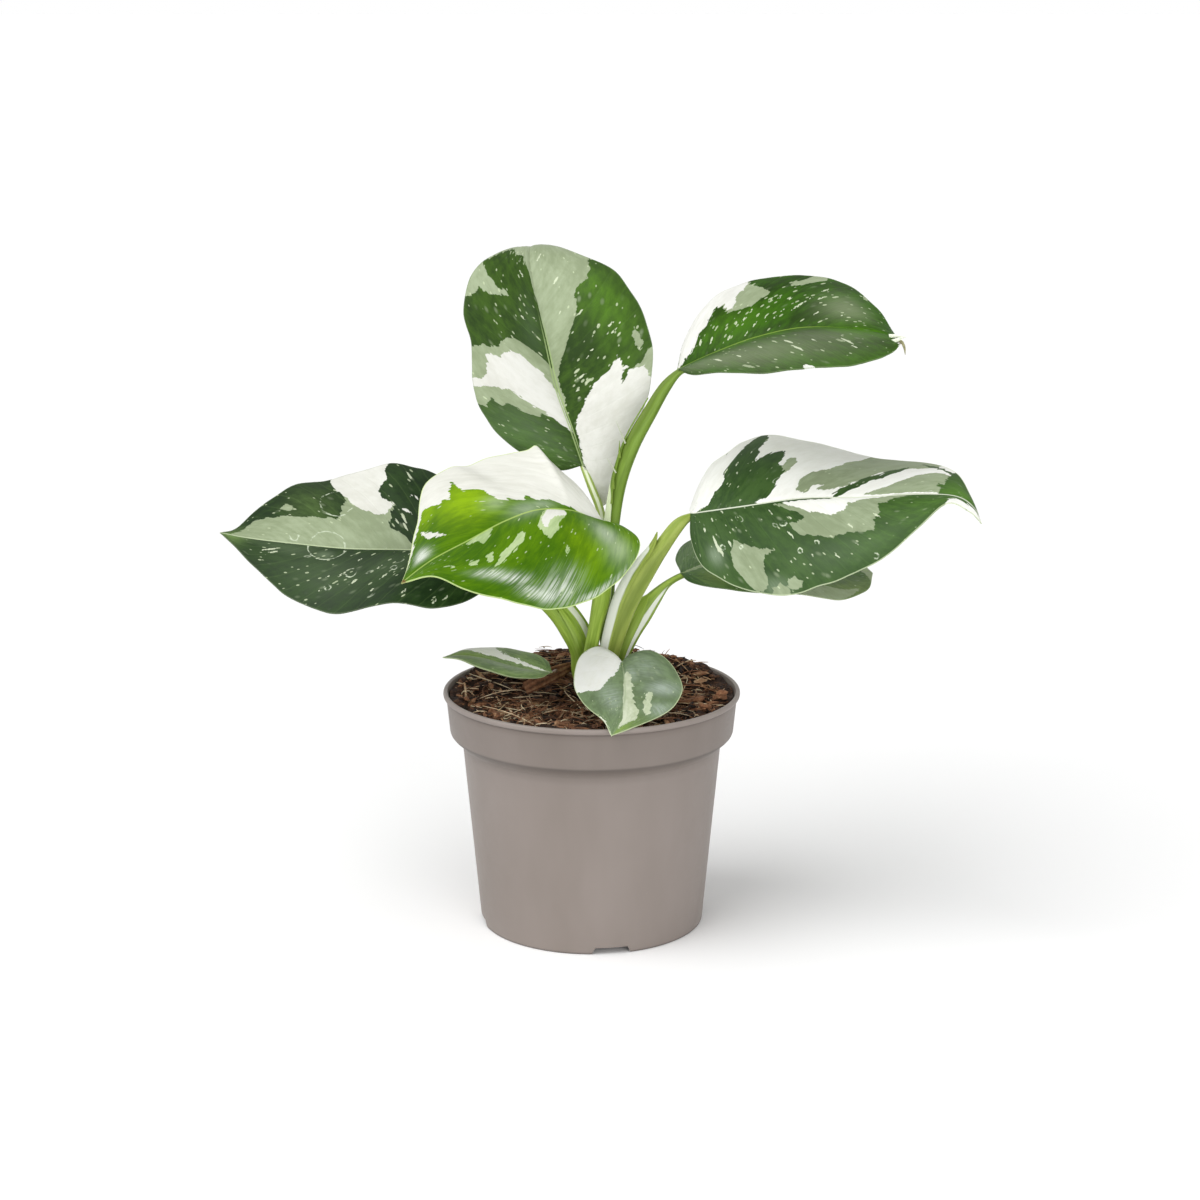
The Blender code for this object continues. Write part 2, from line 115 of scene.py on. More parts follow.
# %% Camera
CAMERA_PLACE = (3.36 * MM, -975.4 * MM, 369.8 * MM)
CAMERA_TILT = math.radians(90 - 13.61)
camera_data = bpy.data.cameras.new("camera")
camera_data.lens = 75
camera_data.sensor_width = 36
camera = bpy.data.objects.new("camera", camera_data)
camera.location = CAMERA_PLACE
camera.rotation_euler = (CAMERA_TILT, 0, 0)
bpy.context.scene.collection.objects.link(camera)
bpy.context.scene.camera = camera
bpy.context.scene.view_settings.view_transform = "Standard"
print("camera distance from the pot, mm:", round(math.hypot(*CAMERA_PLACE[1:]) / MM))


# %% [markdown]
# ## Light
#
# The light is that of a white product studio. The main lamp is very large and stands
# high on the left, a little in front, so its shadow is soft and falls to the right and
# backwards. A sun lamp 60 degrees wide does the same, and lights the whole floor evenly.
# A weak low lamp in front keeps the lower leaves and the shaded side of the pot open.
# The even white surround is exactly white where the camera sees it and dimmer as a
# light, which a Light Path node separates.

# %% World and lamps
SURROUND_LIGHT, KEY_STRENGTH, FILL_POWER = 0.52, 2.1, 8.0
KEY_WIDTH = math.radians(60)
PLANT_MIDDLE = Vector((0, 0, 120 * MM))


def add_lamp(name, kind, place, **settings):
    """A lamp that points at the middle of the plant."""
    lamp_data = bpy.data.lights.new(name, kind)
    for setting, value in settings.items():
        setattr(lamp_data, setting, value)
    lamp = bpy.data.objects.new(name, lamp_data)
    lamp.location = place
    lamp.rotation_euler = (PLANT_MIDDLE - Vector(place)).to_track_quat("-Z", "Y").to_euler()
    bpy.context.scene.collection.objects.link(lamp)


world = bpy.data.worlds.new("white studio")
bpy.context.scene.world = world
world.use_nodes = True
world.node_tree.nodes.clear()
add = partial(add_node, world.node_tree)
seen = add("LightPath", output="Is Camera Ray")
for kind in ("Is Glossy Ray", "Is Transmission Ray"):
    seen = add("Math", (seen, add("LightPath", output=kind)), operation="MAXIMUM")
strength = add("MapRange", {"Value": seen, "To Min": SURROUND_LIGHT, "To Max": 1.0})
surround = add("Background", {"Color": (1, 1, 1, 1), "Strength": strength})
add("OutputWorld", {"Surface": surround})
add_lamp("key lamp", "SUN", (-0.6, -0.36, 0.95), energy=KEY_STRENGTH, angle=KEY_WIDTH)
add_lamp("fill lamp", "AREA", (0.5, -1.25, 0.32), energy=FILL_POWER, size=0.8)


# %% [markdown]
# ## Floor
#
# The pot stands on seamless white paper. Paper is a plain diffuse surface. So that it
# melts into the white surround, a little glow is added for the camera only. The shadow
# of the pot stays, because the glow lifts lit and shaded paper by the same amount.

# %% Floor
FLOOR_GLOW = 0.02
FLOOR_SIZE, FLOOR_BACK = 60, 20      # metres, so that its far edge is out of sight
bpy.ops.mesh.primitive_plane_add(size=FLOOR_SIZE, location=(0, FLOOR_BACK, 0))
floor = bpy.context.object
floor.name = "paper_floor"
material, add = new_material("white paper")
glow = add("Math", (add("LightPath", output="Is Camera Ray"), FLOOR_GLOW), operation="MULTIPLY")
paper = add("BsdfDiffuse", {"Color": linear("#fbfbfb")})
lift = add("Emission", {"Color": (1, 1, 1, 1), "Strength": glow})
add("OutputMaterial", {"Surface": add("AddShader", (paper, lift))})
floor.data.materials.append(material)
bpy.ops.object.transform_apply(location=True)
print("floor:", floor.name)


# %% [markdown]
# ## Pot shape
#
# A nursery pot is injection moulded in one piece of thin plastic: a tapered cup, a round
# shoulder that carries an upright band, and a thin rolled lip. It could be spun from a
# drawn outline. Here a circle is extruded upwards ring by ring and scaled to each
# radius, the way one would pull up a pot on a wheel, then down again inside, so the
# wall has its true 1.2 mm thickness. Short quarter circles round the lip.

# %% Pot outline in mm
POT_HEIGHT, LIP_RADIUS, LIP_DEPTH = 97.0, 60.0, 2.4
BAND_LOW_RADIUS, BAND_TOP_RADIUS, BAND_BOTTOM = 57.4, 58.8, 80.0
NECK_RADIUS, NECK_HEIGHT = 52.4, 75.5
FOOT_RADIUS, FOOT_RING = 45.5, 2.4
FLOOR_UNDER, FLOOR_TOP, WALL = 3.0, 4.2, 1.2
POT_SEGMENTS = 192
CENTRE_RADIUS = 1.0     # of the last ring before a disc is closed at the axis


def quarter(radius_from, height_from, radius_to, height_to, steps, bulge_first):
    """Points of a quarter circle between two places on the outline."""
    points = []
    for i in range(1, steps + 1):
        turn = math.radians(90) * i / steps
        fast, slow = math.sin(turn), 1 - math.cos(turn)
        outward, upward = (fast, slow) if bulge_first else (slow, fast)
        points.append((radius_from + (radius_to - radius_from) * outward,
                       height_from + (height_to - height_from) * upward))
    return points


lip_foot = POT_HEIGHT - LIP_DEPTH
outside = [(FOOT_RADIUS - 0.6, 0), (FOOT_RADIUS - 0.15, 0.2), (FOOT_RADIUS, 0.7)]
outside += [(FOOT_RADIUS + (NECK_RADIUS - FOOT_RADIUS) * k, 0.7 + (NECK_HEIGHT - 0.7) * k)
            for k in (0.02, 0.25, 0.5, 0.75, 0.96, 0.99)]
outside += [(NECK_RADIUS + 0.25, NECK_HEIGHT), (NECK_RADIUS + 0.8, NECK_HEIGHT + 0.6),
            (BAND_LOW_RADIUS - 0.9, BAND_BOTTOM - 0.9), (BAND_LOW_RADIUS - 0.25, BAND_BOTTOM - 0.1),
            (BAND_LOW_RADIUS, BAND_BOTTOM + 0.6), (BAND_LOW_RADIUS + 0.15, BAND_BOTTOM + 2),
            (BAND_TOP_RADIUS - 0.05, lip_foot - 0.5), (BAND_TOP_RADIUS, lip_foot - 0.1)]
outside += quarter(BAND_TOP_RADIUS + 0.05, lip_foot, LIP_RADIUS, lip_foot + 1.0, 4, True)
outside += quarter(LIP_RADIUS, lip_foot + 1.3, LIP_RADIUS - 0.8, POT_HEIGHT, 5, False)
outside += [(LIP_RADIUS - 1.3, POT_HEIGHT - 0.05), (LIP_RADIUS - 1.7, POT_HEIGHT - 0.35),
            (BAND_TOP_RADIUS - WALL, lip_foot - 0.6)]
inside = [(BAND_LOW_RADIUS - WALL, BAND_BOTTOM), (NECK_RADIUS - WALL, NECK_HEIGHT + 0.5),
          (FOOT_RADIUS - WALL, FLOOR_TOP), (CENTRE_RADIUS, FLOOR_TOP)]
underneath = [(FOOT_RADIUS - FOOT_RING, 0), (FOOT_RADIUS - FOOT_RING, FLOOR_UNDER),
              (CENTRE_RADIUS, FLOOR_UNDER)]
print("rings in the pot's outline:", len(outside) + len(inside) + len(underneath))


# %% Extrude the pot
def extrude_rings(rings, start):
    """Extrude the selected loop through a list of (radius, height) in mm."""
    radius, height = start
    for next_radius, next_height in rings:
        bpy.ops.mesh.extrude_edges_move(
            TRANSFORM_OT_translate={"value": (0, 0, (next_height - height) * MM)})
        share = next_radius / radius
        bpy.ops.transform.resize(value=(share, share, 1),
                                 center_override=(0, 0, next_height * MM))
        radius, height = next_radius, next_height
    bpy.ops.mesh.merge(type="CENTER")


def select_ring(thing, height):
    """In edit mode, select only the vertices at a height in mm."""
    bpy.ops.mesh.select_all(action="DESELECT")
    bpy.ops.object.mode_set(mode="OBJECT")
    for vertex in thing.data.vertices:
        vertex.select = abs(vertex.co.z - height * MM) < 1e-7
    bpy.ops.object.mode_set(mode="EDIT")


first = outside[0]
bpy.ops.mesh.primitive_circle_add(vertices=POT_SEGMENTS, radius=first[0] * MM,
                                  location=(0, 0, first[1] * MM))
pot = bpy.context.object
pot.name = "nursery_pot"
bpy.ops.object.mode_set(mode="EDIT")
bpy.ops.mesh.select_mode(type="VERT")
bpy.ops.mesh.select_all(action="SELECT")
extrude_rings(outside[1:] + inside, first)
select_ring(pot, first[1])
extrude_rings(underneath, first)
bpy.ops.mesh.select_all(action="SELECT")
bpy.ops.mesh.normals_make_consistent(inside=False)
bpy.ops.object.mode_set(mode="OBJECT")
print("pot faces:", len(pot.data.polygons))


# %% [markdown]
# ## Notches and drain holes
#
# The mould leaves four shallow notches in the foot ring and a ring of drain holes in the
# floor. Both are cut with simple cutters and a Boolean modifier: tapered blocks for the
# notches, because a mould needs slanted sides to let go, and cylinders for the holes.

# %% Cut the pot
def pick(things):
    """Select only these objects, with the first one active."""
    bpy.ops.object.select_all(action="DESELECT")
    for thing in things:
        thing.select_set(True)
    bpy.context.view_layer.objects.active = things[0]


def cut(thing, cutter):
    """Cut one object out of another for good, and remove the cutter."""
    pick([thing])
    step = thing.modifiers.new("cut", "BOOLEAN")
    step.operation = "DIFFERENCE"
    step.solver = "EXACT"
    step.object = cutter
    bpy.ops.object.modifier_apply(modifier=step.name)
    bpy.data.objects.remove(cutter)


NOTCHES, NOTCH_WIDTH, NOTCH_HEIGHT, NOTCH_FLARE = 4, 16.0, 2.8, 3.0     # mm
FIRST_NOTCH = math.radians(-80)
DRAINS, DRAIN_RADIUS, DRAIN_RING = 8, 2.5, 30.0                          # mm
CUTTER_DEPTH = 6.0                                                       # mm, past both faces
for i in range(NOTCHES):
    turn = FIRST_NOTCH + math.tau * i / NOTCHES
    middle = FOOT_RADIUS - FOOT_RING / 2
    bpy.ops.mesh.primitive_cube_add(size=1, location=(0, 0, 0))
    block = bpy.context.object
    block.data.transform(Matrix.Diagonal((3 * FOOT_RING * MM, NOTCH_WIDTH * MM,
                                          2 * NOTCH_HEIGHT * MM, 1)))
    for vertex in block.data.vertices:
        side = math.copysign(1, vertex.co.y) * -math.copysign(1, vertex.co.z)
        vertex.co.y += side * NOTCH_FLARE / 2 * MM
    block.data.transform(Matrix.Rotation(turn, 4, "Z") @ Matrix.Translation((middle * MM, 0, 0)))
    cut(pot, block)
for i in range(DRAINS):
    turn = math.tau * (i + 0.5) / DRAINS
    bpy.ops.mesh.primitive_cylinder_add(
        vertices=32, radius=DRAIN_RADIUS * MM, depth=CUTTER_DEPTH * MM,
        location=(DRAIN_RING * math.cos(turn) * MM, DRAIN_RING * math.sin(turn) * MM, 4 * MM))
    cut(pot, bpy.context.object)
pick([pot])
bpy.ops.object.shade_smooth_by_angle(angle=math.radians(28))
print("pot faces after cutting:", len(pot.data.polygons))


# %% [markdown]
# ## Pot plastic
#
# Nursery pots are recycled polypropylene, coloured right through. The mould wall is
# lightly blasted, which gives a satin face with a fine grain. Flow in the mould leaves
# faint upright clouds of tone, and handling leaves small pale scuffs. A ramp over the
# height multiplies the colour with painted shade: a painted shadow under the lip and
# under the shoulder, a painted contact shadow round the foot, and a little painted shade
# over the band. The real grain is about 0.1 mm and is drawn at 0.4 mm so that it can be
# seen at all.

# %% Pot material
GRAIN, CLOUD, SCUFF = 0.4, 30.0, 7.0       # mm
material, add = new_material("satin recycled polypropylene")
place = add("TexCoord", output="Object")
tall = add("Mapping", {"Vector": place, "Scale": (1, 1, 0.35)})
clouds = add("TexNoise", {"Vector": tall, "Scale": 1 / (CLOUD * MM), "Detail": 3.0,
                          "Roughness": 0.55})
tone = add("ValToRGB", (clouds,))
fill_ramp(tone, [(0.3, "#80766f"), (0.7, "#8a807a")])
scratched = add("TexNoise", {"Vector": place, "Scale": 1 / (SCUFF * MM), "Detail": 9.0,
                             "Roughness": 0.78, "Distortion": 1.2})
scuffs = add("MapRange", {"Value": scratched, "From Min": 0.66, "From Max": 0.78, "To Max": 0.3})
colour = add("Mix", {0: scuffs, 6: tone, 7: linear("#a8a29c")}, 2, data_type="RGBA")
height = add("SeparateXYZ", (place,), "Z")
# Painted shade: darker under the lip, under the shoulder, over the band and round the foot
painted_shade = add("ValToRGB", (add("Math", (height, POT_HEIGHT * MM), operation="DIVIDE"),))
fill_ramp(painted_shade, [(z / POT_HEIGHT, shade) for z, shade in (
    (0, "#a0a0a0"), (0.9, "#ffffff"), (72, "#fafafa"), (BAND_BOTTOM - 3.4, "#e0dfdd"),
    (BAND_BOTTOM - 0.2, "#b0adaa"), (BAND_BOTTOM + 0.5, "#e6e5e4"), (lip_foot - 3, "#e2e1df"),
    (lip_foot - 0.9, "#d8d5d2"), (lip_foot, "#b4b0ac"), (lip_foot + 0.4, "#fafafa"))])
colour = add("Mix", {0: 1.0, 6: colour, 7: painted_shade}, 2, data_type="RGBA", blend_type="MULTIPLY")
grain = add("TexNoise", {"Vector": place, "Scale": 1 / (GRAIN * MM), "Detail": 2.0})
satin = add("MapRange", (scratched, 0.3, 0.7, 0.42, 0.54))
relief = add("Bump", {"Height": grain, "Strength": 0.25, "Distance": 0.06 * MM})
skin = add("BsdfPrincipled", {"Base Color": colour, "Roughness": satin, "IOR": 1.49,
                              "Normal": relief})
add("OutputMaterial", {"Surface": skin})
pot.data.materials.append(material)
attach(pot, "root")
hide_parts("pot")
print("pot material nodes:", len(material.node_tree.nodes))


# %% [markdown]
# ## Shaping a grid by a formula
#
# Leaves, stalks and bark are free curved sheets and tubes, and no primitive comes close
# to them. The surest way is to add a flat grid and send each of its points to a place
# worked out from two shares: how far across the piece it is, and how far along. A second
# helper fits one smooth curve through a few given points, so a form needs only a handful
# of numbers.

# %% Curves and grids
WELD_GAP = 0.02      # mm


def smooth_line(points):
    """A Catmull-Rom curve through points: many places, and each one's share of the length."""
    points = np.array(points, float)
    ends = np.vstack([2 * points[0] - points[1], points, 2 * points[-1] - points[-2]])
    t = np.linspace(0, 1, 12, endpoint=False)[:, None]
    pieces = [0.5 * (2 * b + (c - a) * t + (2 * a - 5 * b + 4 * c - d) * t ** 2
                     + (3 * b - a - 3 * c + d) * t ** 3)
              for a, b, c, d in zip(ends, ends[1:], ends[2:], ends[3:])]
    line = np.vstack([*pieces, points[-1:]])
    steps = np.linalg.norm(np.diff(line[:, :3], axis=0), axis=1)
    length = np.concatenate([[0], np.cumsum(steps)])
    return line, length / length[-1], length[-1]


def place_on(line, share):
    """Places at given shares of the way along a smooth line."""
    places, shares, _ = line
    share = np.clip(np.asarray(share, float), 0, 1)
    return np.stack([np.interp(share, shares, column) for column in places.T], axis=-1)


def unit(vectors):
    """Scale each vector to length 1."""
    return vectors / np.maximum(np.linalg.norm(vectors, axis=-1, keepdims=True), 1e-9)


def shaped_grid(name, columns, rows, shape, map_name="UVMap", map_of=None):
    """A grid whose points go where shape(across, along) says, in mm. Poles are closed.

    The grid's map holds map_of(across, along), or the two shares themselves.
    """
    bpy.ops.object.select_all(action="DESELECT")
    bpy.ops.mesh.primitive_grid_add(x_subdivisions=columns, y_subdivisions=rows, size=1)
    thing = bpy.context.object
    thing.name = thing.data.name = name
    flat = np.zeros(len(thing.data.vertices) * 3)
    thing.data.vertices.foreach_get("co", flat)
    across, along = flat.reshape(-1, 3)[:, 0] + 0.5, flat.reshape(-1, 3)[:, 1] + 0.5
    thing.data.vertices.foreach_set("co", (shape(across, along) * MM).ravel())
    corner = np.zeros(len(thing.data.loops), int)
    thing.data.loops.foreach_get("vertex_index", corner)
    mapped = np.stack([across, along] if map_of is None else map_of(across, along), axis=-1)
    uv_map = thing.data.uv_layers[0]
    uv_map.name = map_name
    uv_map.data.foreach_set("uv", mapped[corner].ravel())
    return thing, across, along


def weld(thing, closed=True):
    """Merge points that lie together. On a closed body the normals are made to face out."""
    pick([thing])
    bpy.ops.object.mode_set(mode="EDIT")
    bpy.ops.mesh.select_all(action="SELECT")
    bpy.ops.mesh.remove_doubles(threshold=WELD_GAP * MM)
    if closed:
        bpy.ops.mesh.select_all(action="SELECT")
        bpy.ops.mesh.normals_make_consistent(inside=False)
    bpy.ops.object.mode_set(mode="OBJECT")
    return thing


def smooth(thing, degrees=50):
    """Shade a piece smooth, but for edges that are sharper than an angle."""
    pick([thing])
    bpy.ops.object.shade_smooth_by_angle(angle=math.radians(degrees))


def thicken(thing, thickness, offset, back_material=0):
    """Give a sheet its thickness in mm, and its back the material with that number."""
    pick([thing])
    step = thing.modifiers.new("thickness", "SOLIDIFY")
    step.thickness, step.offset, step.material_offset = thickness * MM, offset, back_material
    bpy.ops.object.modifier_apply(modifier=step.name)
    return thing


def join(things, name):
    """Join objects into the first one."""
    pick(things)
    bpy.ops.object.join()
    things[0].name = things[0].data.name = name
    return things[0]


def store(thing, **values):
    """Store one number a point under each name, for the material to read."""
    for name, numbers in values.items():
        attribute = thing.data.attributes.new(name, "FLOAT", "POINT")
        spread = np.broadcast_to(np.asarray(numbers, float), len(thing.data.vertices))
        attribute.data.foreach_set("value", np.ascontiguousarray(spread))


print("a quarter turn of radius 10 mm is about",
      round(smooth_line([(10, 0, 0), (7.07, 7.07, 0), (0, 10, 0)])[2], 2), "mm long")


# %% [markdown]
# ## Potting mix: the bed
#
# The pot is filled to a finger's width below its lip with a mix of peat, coir and fine
# bark, heaped up behind the plant. The bed is a fine round grid. Broad waves give the
# heap, as in the CAD model, and layered noise gives crumbs of 2 to 8 mm. Its edge turns
# down the inside of the pot to the floor, so the mix is a closed body.

# %% The bed of mix
MIX_LEVEL, MIX_MOUND, MIX_GAP = 91.5, 6.5, 0.3    # mm
MIX_BANK = 3.8             # mm that it stands higher against the wall
MIX_REACH = 57.0           # mm, the radius of its top
MIX_RINGS, MIX_SPOKES = 90, 240
TOP_RINGS, BAND_RING, NECK_RING, BASE_RING = 78, 80, 82, 86   # where each stretch ends
PEAT_TONE = 0.12           # places on the colour ramp further down, from 0 to 1


def heap_height(x, y):
    """The broad form of the top of the mix, mm."""
    rise = np.clip((y - 2) / 42, 0, 1)
    lumps = (0.7 * np.sin(0.31 * x + 1.3) * np.cos(0.27 * y)
             + 0.5 * np.sin(0.19 * x - 0.43 * y + 0.6) + 0.4 * np.cos(0.52 * x + 0.35 * y))
    bank = np.clip((np.hypot(x, y) - 38) / 17, 0, 1)
    return (MIX_LEVEL + MIX_MOUND * rise * rise * (3 - 2 * rise) + lumps
            + MIX_BANK * bank * (1 - 0.8 * rise))


def crumb_relief(x, y):
    """Small lumps and hollows on top of the heap, mm."""
    relief = -0.6
    for height, lump, seed in ((1.9, 7, 3.1), (1.3, 3.2, 8.7), (0.6, 1.5, 1.9)):
        relief += height * noise.noise(Vector((x / lump, y / lump, seed)))
    return relief


def surface_height(x, y):
    """The height of the mix with its crumbs at one place, mm."""
    return float(heap_height(np.array(x), np.array(y))) + crumb_relief(x, y)


def wall_radius(height):
    """How far the mix reaches at a height, just inside the pot's wall."""
    return np.interp(height, [FLOOR_TOP, NECK_HEIGHT, BAND_BOTTOM + 0.5, lip_foot],
                     [FOOT_RADIUS - WALL, NECK_RADIUS - WALL, BAND_LOW_RADIUS - WALL,
                      BAND_TOP_RADIUS - WALL]) - MIX_GAP


def bed_shape(across, along):
    """Rings run from the middle out over the top, down the wall and in over the floor."""
    turn, ring = across * math.tau, along * MIX_RINGS
    reach = np.clip(ring / TOP_RINGS, 0, 1) * MIX_REACH
    x, y = reach * np.cos(turn), reach * np.sin(turn)
    relief = np.array([crumb_relief(*place) for place in zip(x, y)])
    top = heap_height(x, y) + relief * np.clip((MIX_REACH - reach) / 3 + 0.4, 0, 1)
    down = np.clip((ring - TOP_RINGS) / (BAND_RING - TOP_RINGS), 0, 1)
    side = np.interp(ring, [BAND_RING, NECK_RING, BASE_RING],
                     [BAND_BOTTOM + 0.5, NECK_HEIGHT, FLOOR_TOP + MIX_GAP])
    height = np.where(ring < BAND_RING, top + (BAND_BOTTOM + 0.5 - top) * down, side)
    radius = np.where(ring > TOP_RINGS, wall_radius(height),
                      np.minimum(reach, wall_radius(height)))
    radius = radius * np.clip((MIX_RINGS - ring) / (MIX_RINGS - BASE_RING), 0, 1)
    return np.stack([radius * np.cos(turn), radius * np.sin(turn), height], axis=-1)


bed, _, _ = shaped_grid("potting_mix_bed", MIX_SPOKES, MIX_RINGS, bed_shape)
weld(bed)
smooth(bed, 60)
store(bed, tone=PEAT_TONE)
print("bed of mix faces:", len(bed.data.polygons))


# %% [markdown]
# ## Potting mix: crumbs and fibres
#
# What the eye reads as soil is mostly loose stuff on top: broken bark, coir pith and
# many short fibres that lie in every direction. Each kind is modelled once with few
# faces, a chunk from a small icosphere and a fibre from a thin four-sided tube, and then
# copied hundreds of times at random sizes and turns. A number stored on each copy, its
# tone, later gives it its own colour, so that dark peat, red-brown bark and pale straw
# lie mixed together.

# %% Model the chunk and the fibre once
def mesh_parts(thing):
    """Take the points and faces out of an object, and remove it."""
    points = np.array([vertex.co[:] for vertex in thing.data.vertices])
    faces = [tuple(face.vertices) for face in thing.data.polygons]
    bpy.data.objects.remove(thing)
    return points, faces


def chunk_model(seed):
    """An angular crumb about 1 unit across."""
    bpy.ops.mesh.primitive_ico_sphere_add(subdivisions=1, radius=0.5)
    points, faces = mesh_parts(bpy.context.object)
    dents = np.array([noise.noise(Vector(p) * 2.3 + Vector((seed, 0, 0))) for p in points])
    return points * (1 + 0.9 * dents[:, None]) * (1, 0.6, 0.42), faces


def fibre_model(bend, twist):
    """A thin tube 1 unit long that bows sideways and up."""
    bpy.ops.mesh.primitive_cylinder_add(vertices=4, radius=0.5, depth=1, end_fill_type="NGON")
    thing = bpy.context.object
    bpy.ops.object.mode_set(mode="EDIT")
    bpy.ops.mesh.select_all(action="SELECT")
    for height in (-0.38, -0.26, -0.13, 0, 0.13, 0.26, 0.38):
        bpy.ops.mesh.select_all(action="SELECT")
        bpy.ops.mesh.bisect(plane_co=(0, 0, height), plane_no=(0, 0, 1))
    bpy.ops.object.mode_set(mode="OBJECT")
    points, faces = mesh_parts(thing)
    along = points[:, 2]
    thin = 1 - 0.55 * (2 * np.abs(along)) ** 2
    bow = np.stack([along, points[:, 0] * thin, points[:, 1] * thin], axis=-1)
    return bow, faces, np.stack([0 * along, bend * np.sin(along * 3 + twist),
                                 twist * 0.12 * np.cos(along * 3.1)], axis=-1)


chunk_models = [chunk_model(seed) for seed in (0.0, 3.7, 9.1, 14.2)]
fibre_models = [fibre_model(bend, twist)
                for bend, twist in ((0.04, 0.1), (0.16, 0.5), (-0.24, 0.9), (0.3, -0.6))]
print("faces of a chunk and a fibre:", len(chunk_models[0][1]), len(fibre_models[0][1]))


# %% Scatter them over the bed
CHUNKS, FIBRES = 1500, 1300
dice = random.Random(41)
scattered_points, scattered_faces, scattered_tones = [], [], []


def add_copy(points, faces, turn, place, tone):
    """Turn a copy, put it in its place and note its tone."""
    first = len(scattered_tones)
    scattered_points.append(points @ np.array(turn.to_matrix()).T + place)
    scattered_faces.extend(tuple(i + first for i in face) for face in faces)
    scattered_tones.extend([tone] * len(points))


def headed(heading, steepness):
    """The turn of a fibre that points along a heading and rises at its front."""
    return (Matrix.Rotation(heading, 3, "Z") @ Matrix.Rotation(-steepness, 3, "Y")).to_quaternion()


def random_spot(margin):
    """A place on the bed, evenly spread, at least margin mm inside the wall."""
    reach = (MIX_REACH - 0.4 - margin) * math.sqrt(dice.random())
    turn = dice.random() * math.tau
    return reach * math.cos(turn), reach * math.sin(turn)


for i in range(CHUNKS):
    size = 1.2 + 4.4 * dice.random() ** 3
    x, y = random_spot(size * 0.55)
    turn = Matrix.Rotation(dice.random() * math.tau, 3, "Z").to_quaternion()
    turn = turn @ Vector((0, 0, 1)).rotation_difference(
        Vector((dice.gauss(0, 0.35), dice.gauss(0, 0.35), 1)))
    points, faces = chunk_models[i % 4]
    lift = 0.16 * size + dice.random() * 1.5 - 0.4
    stretch = (size * (1 + 0.8 * dice.random()), size, size)
    add_copy(points * stretch, faces, turn, (x, y, surface_height(x, y) + lift),
             dice.random() ** 1.4 * 0.66)
for i in range(FIBRES):
    length = 4 + 17 * dice.random() ** 2.4
    x, y = random_spot(length * 0.5)
    thickness = 0.24 + 0.34 * dice.random() ** 1.5
    points, faces, bow = fibre_models[i % 4]
    steep = dice.gauss(0, 0.12) if dice.random() < 0.96 else 0.15 + 0.25 * dice.random()
    turn = headed(dice.random() * math.tau, steep)
    shaped = points * (length, thickness, thickness) + bow * length
    lift = 0.6 + thickness + abs(math.sin(steep)) * length * 0.4
    tone = 0.12 + 0.4 * dice.random() if dice.random() < 0.7 else 0.68 + 0.32 * dice.random()
    add_copy(shaped, faces, turn, (x, y, surface_height(x, y) + lift), tone)
print("loose pieces:", CHUNKS + FIBRES, "faces:", len(scattered_faces))


# %% Fibres that stick up at the rim, one by one
STRAY_THICKNESS, STRAY_BEND = 0.45, 1.6     # mm, and how much more they bow than the rest
# x, y and length in mm, heading and steepness in degrees
stray_fibres = [(31, 40, 10, 60, 16), (36, 34, 9, 120, 18), (43, 30, 10, 20, 14),
                (45, 24, 9, 75, 16), (38, 26, 16, 105, 12), (44, -2, 14, 65, 10),
                (33, 18, 18, 80, 12), (37, 8, 16, 290, 10), (-49, 2, 12, 110, 8),
                (-31, -34, 34, 106, 3), (-37, 0, 18, 46, 5), (-42, 8, 14, 60, 6)]
for i, (x, y, length, heading, steepness) in enumerate(stray_fibres):
    points, faces, bow = fibre_models[i % 4]
    steep = math.radians(steepness)
    shaped = points * (length, STRAY_THICKNESS, STRAY_THICKNESS) + bow * length * STRAY_BEND
    lift = 0.5 + math.sin(steep) * length * 0.4
    add_copy(shaped, faces, headed(math.radians(heading), steep),
             (x, y, surface_height(x, y) + lift), 0.55 + 0.03 * i)
scattered = bpy.data.meshes.new("crumbs")
scattered.from_pydata((np.vstack(scattered_points) * MM).tolist(), [], scattered_faces)
crumbs = bpy.data.objects.new("crumbs", scattered)
bpy.context.scene.collection.objects.link(crumbs)
store(crumbs, tone=scattered_tones)
print("all loose faces:", len(scattered.polygons))


# %% [markdown]
# ## Potting mix: colour
#
# Damp peat is nearly black-brown, bark and coir pith are red-brown, and dry coir is the
# colour of straw. One ramp runs through these, and each crumb's tone picks its place on
# it. Fine noise breaks every piece up, as the real ones are made of many cells. The
# surface is rough and hardly shines, apart from a dull gleam on wet bark.

# %% Mix material
FLECK, MOTTLE = 0.9, 4.0        # mm
mix_material, add = new_material("damp coir and bark mix")
place = add("TexCoord", output="Object")
tone = add("Attribute", output="Fac", attribute_name="tone")
speckle = add("TexNoise", {"Vector": place, "Scale": 1 / (FLECK * MM), "Detail": 4.0,
                           "Roughness": 0.65})
mottle = add("TexNoise", {"Vector": place, "Scale": 1 / (MOTTLE * MM), "Detail": 2.0})
broken = add("Math", (speckle, mottle), operation="ADD")
broken = add("MapRange", (broken, 0.6, 1.4, -0.2, 0.22))
picked = add("Math", (tone, broken), operation="ADD", use_clamp=True)
ramp = add("ValToRGB", (picked,))
fill_ramp(ramp, [(0.0, "#160e09"), (0.16, "#352217"), (0.32, "#67452f"), (0.5, "#8b6044"),
                 (0.72, "#ab8b6b"), (1.0, "#e0cfae")])
relief = add("Bump", {"Height": speckle, "Strength": 0.7, "Distance": 0.5 * MM})
crumb = add("BsdfPrincipled", {"Base Color": ramp, "Roughness": 0.8, "Specular IOR Level": 0.25,
                               "Normal": relief})
add("OutputMaterial", {"Surface": crumb})
bed.data.materials.append(mix_material)
crumbs.data.materials.append(mix_material)
mix = join([bed, crumbs], "coir_and_bark_mix")
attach(mix, "root")
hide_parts("potting_mix")
print("mix triangles:", sum(len(face.vertices) - 2 for face in mix.data.polygons))


